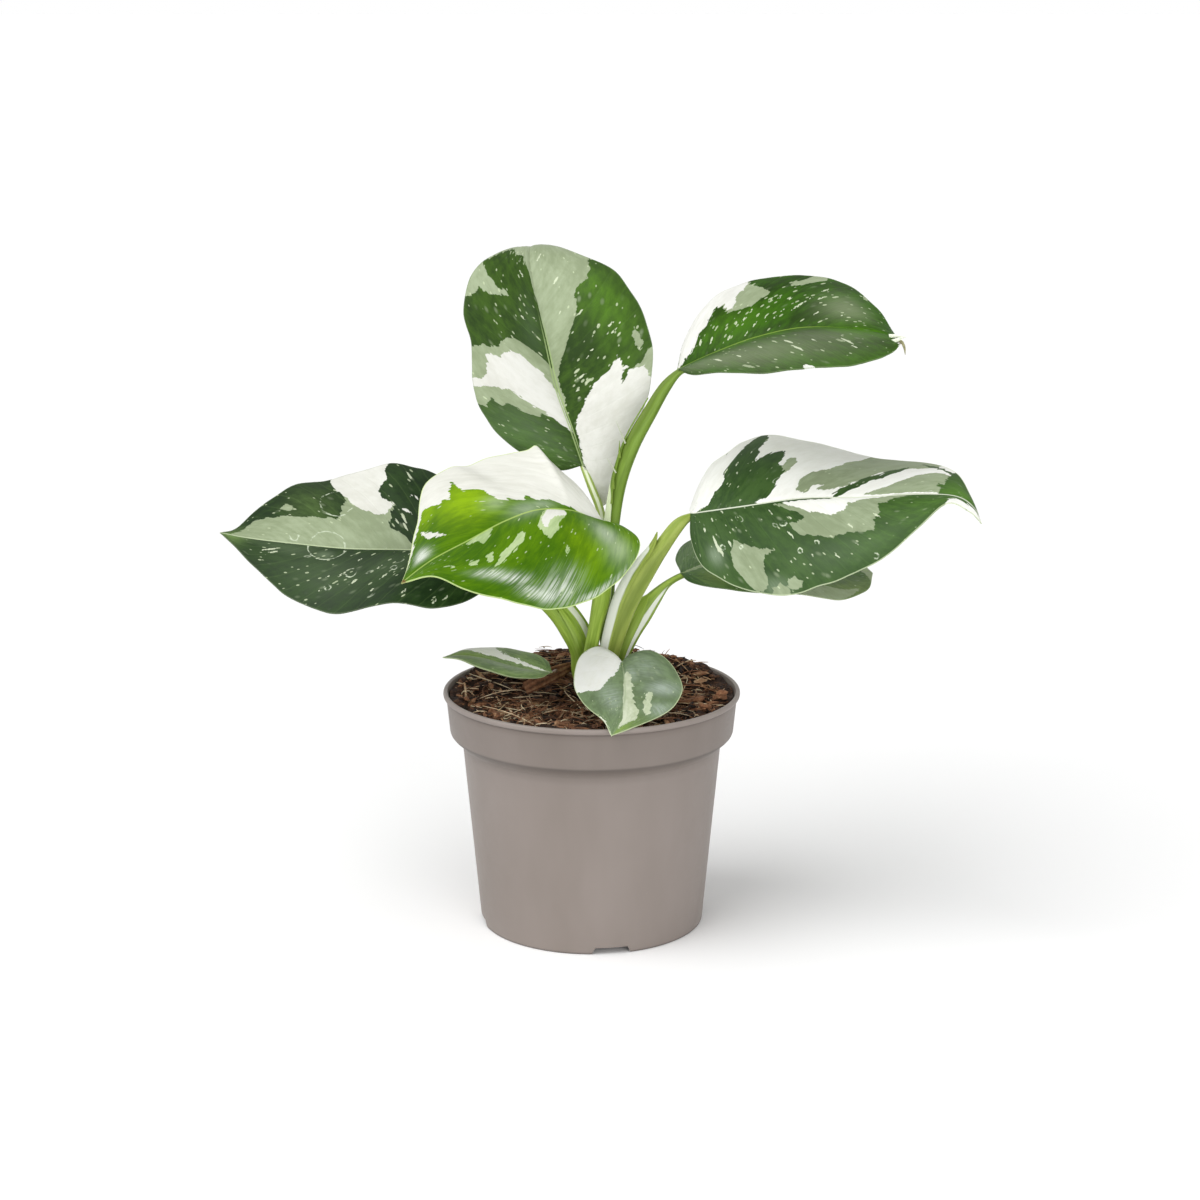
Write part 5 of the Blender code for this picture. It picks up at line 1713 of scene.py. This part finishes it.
# %% Make the front left leaf
front_left = {
    "greens": ("#3c6600", "#557f00", "#8cb206", "#e4eae0"),
    "cream": ("#d9d9cf", "#e8e8e0"), "marks": 0.0, "lean": 0.36, "speck": 0.7,
    "sheen_lines": 0.2, "flecks": 0.5, "shine": 0.15, "sage": ("#9db67c", "#bdd09c"),
    "rib_line": ("#b6d070", 0.7, 0.0, 1.3),
    "rim": ("#cfe39a", 0.85), "seed": 5.0,
    "midrib": [(5, -10, 167), (-6, -14, 173), (-20, -20, 175), (-33, -27, 172), (-47, -35, 166),
        (-61, -44, 160), (-72, -53, 153)],
    "right": [(-4, -3, 179.6), (-12, 0, 186.3), (-18, 1, 191.8), (-22.2, 2, 196.3), (-26.5, 2, 194.2),
        (-40, 1, 191.7), (-49, -1, 188.7), (-56.4, -4, 188.2), (-65.8, -11, 181.7), (-67.8, -25, 170.5),
        (-70, -42, 158.5)],
    "left": [(15, -16, 166), (19, -24, 161), (13, -34, 152), (0, -43, 144), (-16, -50, 142),
        (-33, -54, 147), (-48, -55, 151), (-60, -54, 156)],
    "stalk": [(-0.9, -5.7, 103, 2.8, 2.6), (-0.6, -5.8, 112, 2.8, 2.4), (1.5, -6, 124, 2.8, 2.2),
        (4, -7, 136, 3.6, 2.2), (5.3, -8, 148, 2.6, 2), (5.3, -8.5, 158, 2, 1.9)],
    "rows": 160, "wave": 0.3, "rib": 1.2,
    "glow": [(.36, -.5, .07, .3, .5), (.63, .45, .11, .3, 1.1), (.2, -.75, .08, .2, .4),
        (.72, .9, .08, .2, .8)],
    "painted_sheen": [(.59, -.83, .04, .05, .7), (.64, -.72, .06, .06, .8), (.71, -.67, .05, .06, .8),
        (.55, -.87, .06, .06, .9), (.50, -.84, .06, .12, .8), (.47, -.74, .05, .1, .5),
        (.39, -.97, .12, .03, .8), (.885, .45, .03, .2, 1.2)],
    "soft_painted_sheen": [(.25, -.48, .045, .25, .4), (.25, -.72, .05, .2, .3), (.885, .45, .025, .2, .6),
        (.50, .05, .07, .1, .3), (.57, .25, .04, .1, .25), (.43, .07, .06, .06, .3),
        (.7, -.69, .06, .06, .3), (.56, -.86, .05, .06, .3)],
    "patches": [
        ("cream", [(0, 0), (.24, 0), (.31, .05), (.36, .1), (.4, .13), (.44, .14), (.46, .22),
          (.475, .17), (.505, .2), (.52, .3), (.53, .22), (.548, .26), (.56, .4), (.565, .5), (.6, .6),
          (.592, .78), (.61, .72), (.62, .73), (.65, .58), (.657, .72), (.667, .7), (.68, .72),
          (.7, .83), (.73, .95), (.76, 1.05), (0, 1.05)]),
        ("cream", [(.7, .93), (.95, .93), (.95, 1.05), (.7, 1.05)]),
        ("cream", [(.80, .84), (.788, .58), (.77, .3), (.789, .4), (.815, .6), (.815, .78)]),
        ("sage", [(.775, -.05), (.72, 0), (.65, 0), (.675, -.12), (.7, -.2), (.72, -.12), (.75, -.1)]),
        ("sage", [(.545, -.2), (.56, -.28), (.617, -.43), (.69, -.6), (.67, -.49), (.65, -.39),
          (.6, -.29), (.58, -.21)]),
        ("sage", [(.44, -.12), (.4, -.12), (.43, -.25), (.475, -.34), (.477, -.24)]),
        ("cream", [(.465, -.09), (.475, -.2), (.46, -.23), (.44, -.15), (.405, -.11), (.352, -.09),
          (.34, -.015), (.42, -.01)]),
        ("sage", [(.71, -.4), (.682, -.35), (.684, -.46), (.705, -.53)]),
        ("sage", [(.74, -.42), (.77, -.48), (.772, -.53), (.745, -.51)]),
        ("sage", [(.82, -.48), (.86, -.5), (.82, -.53)]),
        ("sage", [(.418, -.42), (.43, -.43), (.447, -.56), (.43, -.52)]),
        whole_tip("brown", .985)]}
make_leaf("leaf_front_left", "front_left_leaf", front_left)


# %% [markdown]
# ## Left leaf
#
# A long dark leaf that points left, with a wide sage band above its midrib and a cream
# patch on the far margin. Dried drops of water have left pale rings on it.

# %% Make the left leaf
left = {
    "greens": ("#1b2f15", "#2b431d", "#7d9a58", "#6f8064"), "shine": 0.15,
    "cream": ("#dcdcd2", "#ebebe4"), "marks": 0.35,
    "flecks": 0.34, "drops": 0.16, "rib_line": ("#c6d3ae", 0.85, 0.0, 1.2),
    "rim": ("#8d9c7c", 0.3), "seed": 6.0,
    "midrib": [(-40, 4, 151), (-57, 5, 153), (-77, 7, 153), (-99, 9, 153), (-122, 10, 155),
        (-140, 11, 157), (-150, 11, 159)],
    "right": [(-40, 14, 159), (-47, 25, 170), (-63, 35, 178), (-81, 40, 182), (-104, 40, 176),
        (-122, 34, 174), (-136, 24, 166), (-144, 15, 160)],
    "left": [(-40, -6, 143), (-48, -14, 137), (-62, -19, 135), (-79, -21, 138), (-99, -20, 133),
        (-116, -13, 136), (-132, -3, 145), (-143, 6, 154)],
    "stalk": [(-5, 1, 103, 3, 3), (-5.6, 1, 112, 3.2, 2.8), (-9, 1.5, 120, 3.6, 2.6),
        (-15, 2, 128, 3, 2.4), (-25, 3, 137, 2.2, 2), (-34, 4, 145, 1.8, 1.8)],
    "rows": 160, "wave": 0.4, "rib": 1.2,
    "sheath": {"from": 8, "to": 46, "angle": 40, "tip_angle": 5, "span": 50, "flare": 2.0, "lip": 4.2,
        "narrowing": 5, "pale": [[(.1, -.42), (.9, -.42), (.9, -.82), (.1, -.82)]]},
    "painted_sheen": [(.38, -.15, .06, .2, .35), (.8, -.2, .12, .25, .4), (.7, -.2, .03, .1, .8),
        (.66, -.5, .2, .4, .3), (.5, -.35, .1, .3, .25)],
    "glow": [(.97, 0, .04, .8, .9), (.72, .6, .08, .3, .35)],
    "rings": [(.713, -.03, 7.5), (.645, .59, 7.0), (.80, .12, 2.0), (.58, -.45, 2.2), (.62, -.7, 1.2),
        (.45, -.4, 1.2)],
    "dashes": [(.848, -.38, 4), (.833, -.42, 3), (.468, -.54, 4), (.505, -.36, 3), (.378, -.83, 3),
        (.605, -.49, 4), (.555, -.58, 4), (.638, -.55, 2), (.285, -.91, 3), (.253, -.86, 2),
        (.233, -.48, 3), (.422, .84, 5), (.455, .31, 5), (.453, .22, 4), (.48, .28, 3), (.432, -.1, 3),
        (.48, -.74, 2), (.585, -.22, 2), (.525, .01, 2), (.635, -.76, 2)],
    "fleck_zones": [(.3, .6, .12, .4, .8), (.55, -.6, .12, .3, .6), (.4, -.5, .1, .3, .45),
        (.85, -.25, .05, .2, .7), (.77, .6, .06, .2, .6)],
    "patches": [
        ("cream", [(.64, 1.05), (.64, .83), (.625, .7), (.605, .63), (.605, .57), (.59, .5),
          (.575, .45), (.545, .38), (.51, .36), (.5, .4), (.475, .46), (.512, .55), (.522, .65),
          (.505, .72), (.487, .8), (.487, .93), (.465, 1.05)]),
        ("sage", [(.97, .3), (.94, .5), (.9, .68), (.85, .6), (.82, .55), (.785, .48), (.74, .42),
          (.71, .4), (.657, .36), (.635, .5), (.62, .55), (.59, .5), (.575, .45), (.545, .38),
          (.51, .36), (.5, .22), (.47, .15), (.44, .07), (.42, 0), (.6, -.01), (.97, -.01)]),
        ("sage", [(.765, .6), (.79, .58), (.81, .68), (.785, .72)]),
        ("cream", [(.46, .42), (.42, .37), (.42, .35), (.46, .4)]),
        ("cream", [(.42, .58), (.4, .56), (.4, .54), (.42, .56)])]}
make_leaf("leaf_left", "left_leaf", left)


# %% [markdown]
# ## Two low leaves
#
# Two small first leaves lie near the mix. The left one is narrow and nearly edge on. The
# front one hangs over the pot's lip: its left half starts cream, the rest is grey-green
# under a painted silvery sheen, with pale bands beside the midrib.

# %% Make the low left leaf
low_left = {
    "greens": ("#5f7749", "#89a265", "#9bb35c", "#b0bda4"),
    # Its cream is among the brightest as painted light, against the shade of the leaves above it
    "cream": ("#f3f4e9", "#fcfcf7"), "marks": 0.3,
    "stalk_greens": ("#5a4330", "#86664a", "#b79b7c"),
    "sheen_lines": 0.5, "flecks": 0.15, "rib_line": ("#a9bd88", 0.7, 0.0, 1.1),
    "rim": ("#c5d3a6", 0.7), "seed": 7.0,
    "midrib": [(-16, -4, 105), (-29, -3, 106.5), (-43, 0, 109.5), (-53, 3, 110), (-60.5, 5, 108.6)],
    "right": [(-18, 2, 108), (-25, 8, 109.7), (-37, 12, 110.7), (-50, 10, 110.9)],
    "left": [(-21, -8, 103.3), (-31, -12, 104.8), (-43, -11, 108), (-53, -3, 109.7)],
    "stalk": [(-1.8, 4, 96, 1.3, 1.3), (-8, 10, 99, 1.1, 1.1), (-13.4, 9, 101.5, 0.9, 0.9),
        (-14.6, 2, 103.6, 0.8, 0.8)],
    "rows": 90, "wave": 0.1, "rib": 0.6, "clasps": False,
    "painted_sheen": [(.4, -.3, .3, .4, .6)],
    "glow": [(.85, .3, .2, .8, .5)],
    "patches": [
        ("cream", [(.06, .0), (.305, .16), (.422, .33), (.527, .43), (.557, .53), (.568, .63),
          (.6, 1.05), (.86, 1.05), (.833, .83), (.76, .35), (.672, .23), (.593, .18), (.505, .155),
          (.307, .07), (.08, -.03)]),
        ("cream", [(.5, .94), (.95, .95), (.95, 1.05), (.5, 1.05)]),
        ("green", [(.62, .02), (.9, .02), (.86, .3), (.7, .16)])]}
make_leaf("leaf_low_left", "low_left_leaf", low_left)


# %% Make the low front leaf
low_front = {
    "greens": ("#677a57", "#80966d", "#8cab4c", "#c4d0c8"),
    # Its cream is among the brightest as painted light, against the shade of the leaves above it
    "cream": ("#f3f3ec", "#fcfcf9"), "marks": 0.6, "sage": ("#bdc9a6", "#dee5cc"),
    "bridge": 0.5, "sheen_lines": 0.6, "flecks": 0.2, "drops": 0.15,
    "rib_line": ("#b3c29e", 0.6, 0.0, 0.8),
    "rim": ("#d5e2b4", 0.75), "seed": 8.0,
    "midrib": [(12, -22, 114), (13, -31, 109), (13, -41, 104), (11, -53, 100), (9, -60, 98.6),
        (7.6, -66, 96.6)],
    "right": [(8, -17, 117), (2, -15, 118.3), (-4.6, -18, 114.5), (-7, -28, 108), (-4, -40, 103),
        (4.4, -54, 99)],
    "left": [(16, -17, 116.2), (23, -14, 116.4), (30.6, -16, 112.4), (36, -27, 106), (32.4, -40, 101),
        (21.6, -51.5, 97.6)],
    "stalk": [(4.7, -3.8, 97.5, 1.3, 1.3), (8, -8, 98.5, 1.2, 1.2), (11.5, -15, 103, 1.1, 1.1),
        (12, -19, 109, 1.1, 1.1)],
    "rows": 110, "wave": 0.25, "rib": 0.7, "clasps": False,
    "painted_sheen": [(.28, -.45, .14, .3, .35), (.47, -.65, .06, .3, .5), (.65, -.85, .05, .3, .5),
        (.6, .3, .14, .25, .5), (.3, -.15, .1, .12, .5)],
    "soft_painted_sheen": [(.49, -.65, .05, .2, .4)],
    "glow": [(.9, -.7, .12, .3, .9)],
    "patches": [
        ("cream", [(0, .1), (.15, .12), (.25, .14), (.37, .22), (.42, .32), (.475, .4), (.535, .53),
          (.545, .7), (.545, .82), (.555, .94), (.56, 1.05), (0, 1.05)]),
        ("cream", [(.8, .97), (.92, .9), (1, .8), (1, 1.05), (.8, 1.05)]),
        ("sage", [(.228, -.075), (.3, .0), (.367, .02), (.578, .045), (.71, -.01), (.885, -.22),
          (.92, -.42), (.84, -.52), (.768, -.585), (.715, -.48), (.652, -.23), (.535, -.135),
          (.383, -.12)]),
        ("sage", [(.51, -.47), (.6, -.55), (.68, -.66), (.71, -.74), (.735, -.72), (.7, -.56),
          (.625, -.435), (.537, -.38)])]}
make_leaf("leaf_low_front", "low_front_leaf", low_front)


# %% [markdown]
# ## Stem and dried sheath
#
# The stem is short and ringed where leaves have dropped, and mostly hidden by the
# stalks. Its CAD shape is right, so it stays and gets a material of its own: green tissue
# going corky brown towards the mix. Beside it lies the dried sheath of a dropped leaf,
# a curled brown strip with ridges along it.

# %% Stem material
CORK_TOP, GREEN_FROM = 92, 104      # mm, between which the stem turns from cork to green
material, add = new_material("corky green stem")
place = add("TexCoord", output="Object")
height = add("SeparateXYZ", (place,), "Z")
rings = add("Mapping", {"Vector": place, "Scale": (1, 1, 4)})
bark = add("TexNoise", {"Vector": rings, "Scale": 1 / (3 * MM), "Detail": 5.0})
fresh = add("MapRange", (height, CORK_TOP * MM, GREEN_FROM * MM))
fresh = add("Math", (fresh, bark, -0.2), use_clamp=True, **TIMES_PLUS)
brown = add("Mix", {0: bark, 6: linear("#4a3524"), 7: linear("#8a6c48")}, 2, data_type="RGBA")
colour = add("Mix", {0: fresh, 6: brown, 7: linear("#7c9434")}, 2, data_type="RGBA")
relief = add("Bump", {"Height": bark, "Strength": 0.6, "Distance": 0.4 * MM})
skin = add("BsdfPrincipled", {"Base Color": colour, "Roughness": 0.6, "Normal": relief})
add("OutputMaterial", {"Surface": skin})
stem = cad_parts["stem"]
stem.data.materials.clear()
stem.data.materials.append(material)
print("stem material nodes:", len(material.node_tree.nodes))


# %% Dried sheath
HUSK_THICKNESS = 0.5      # mm
sheath_frames = stalk_frames([(-27, -1.5, 96.5, 2.2, 0.7), (-21, 1.5, 99, 2.8, 0.8),
                              (-14.5, 4.5, 101.5, 2.6, 0.8), (-8.5, 7.5, 103.6, 1.6, 0.5)])


def husk_shape(across, along):
    """A strip curled up at its edges, with ridges along it."""
    e = 2 * across - 1      # from edge to edge
    ridges = 0.14 * np.sin(e * 14) + 0.12 * np.sin(along * 9 + e * 5)
    places = stalk_place(sheath_frames, along, 180 * (1 - across))
    curl = np.stack([0 * e, 0 * e, 0.9 * np.abs(e) ** 2 + ridges], axis=-1)
    return places + curl


husk, across, along = shaped_grid("dried_sheath_curled", 28, 40, husk_shape)
store(husk, tone=0.42 + 0.12 * np.sin(across * 22))
weld(husk, closed=False)
thicken(husk, HUSK_THICKNESS, 0)
smooth(husk)
husk.data.materials.append(mix_material)
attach(husk, "root")
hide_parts("dried_sheath")
print("dried sheath faces:", len(husk.data.polygons))
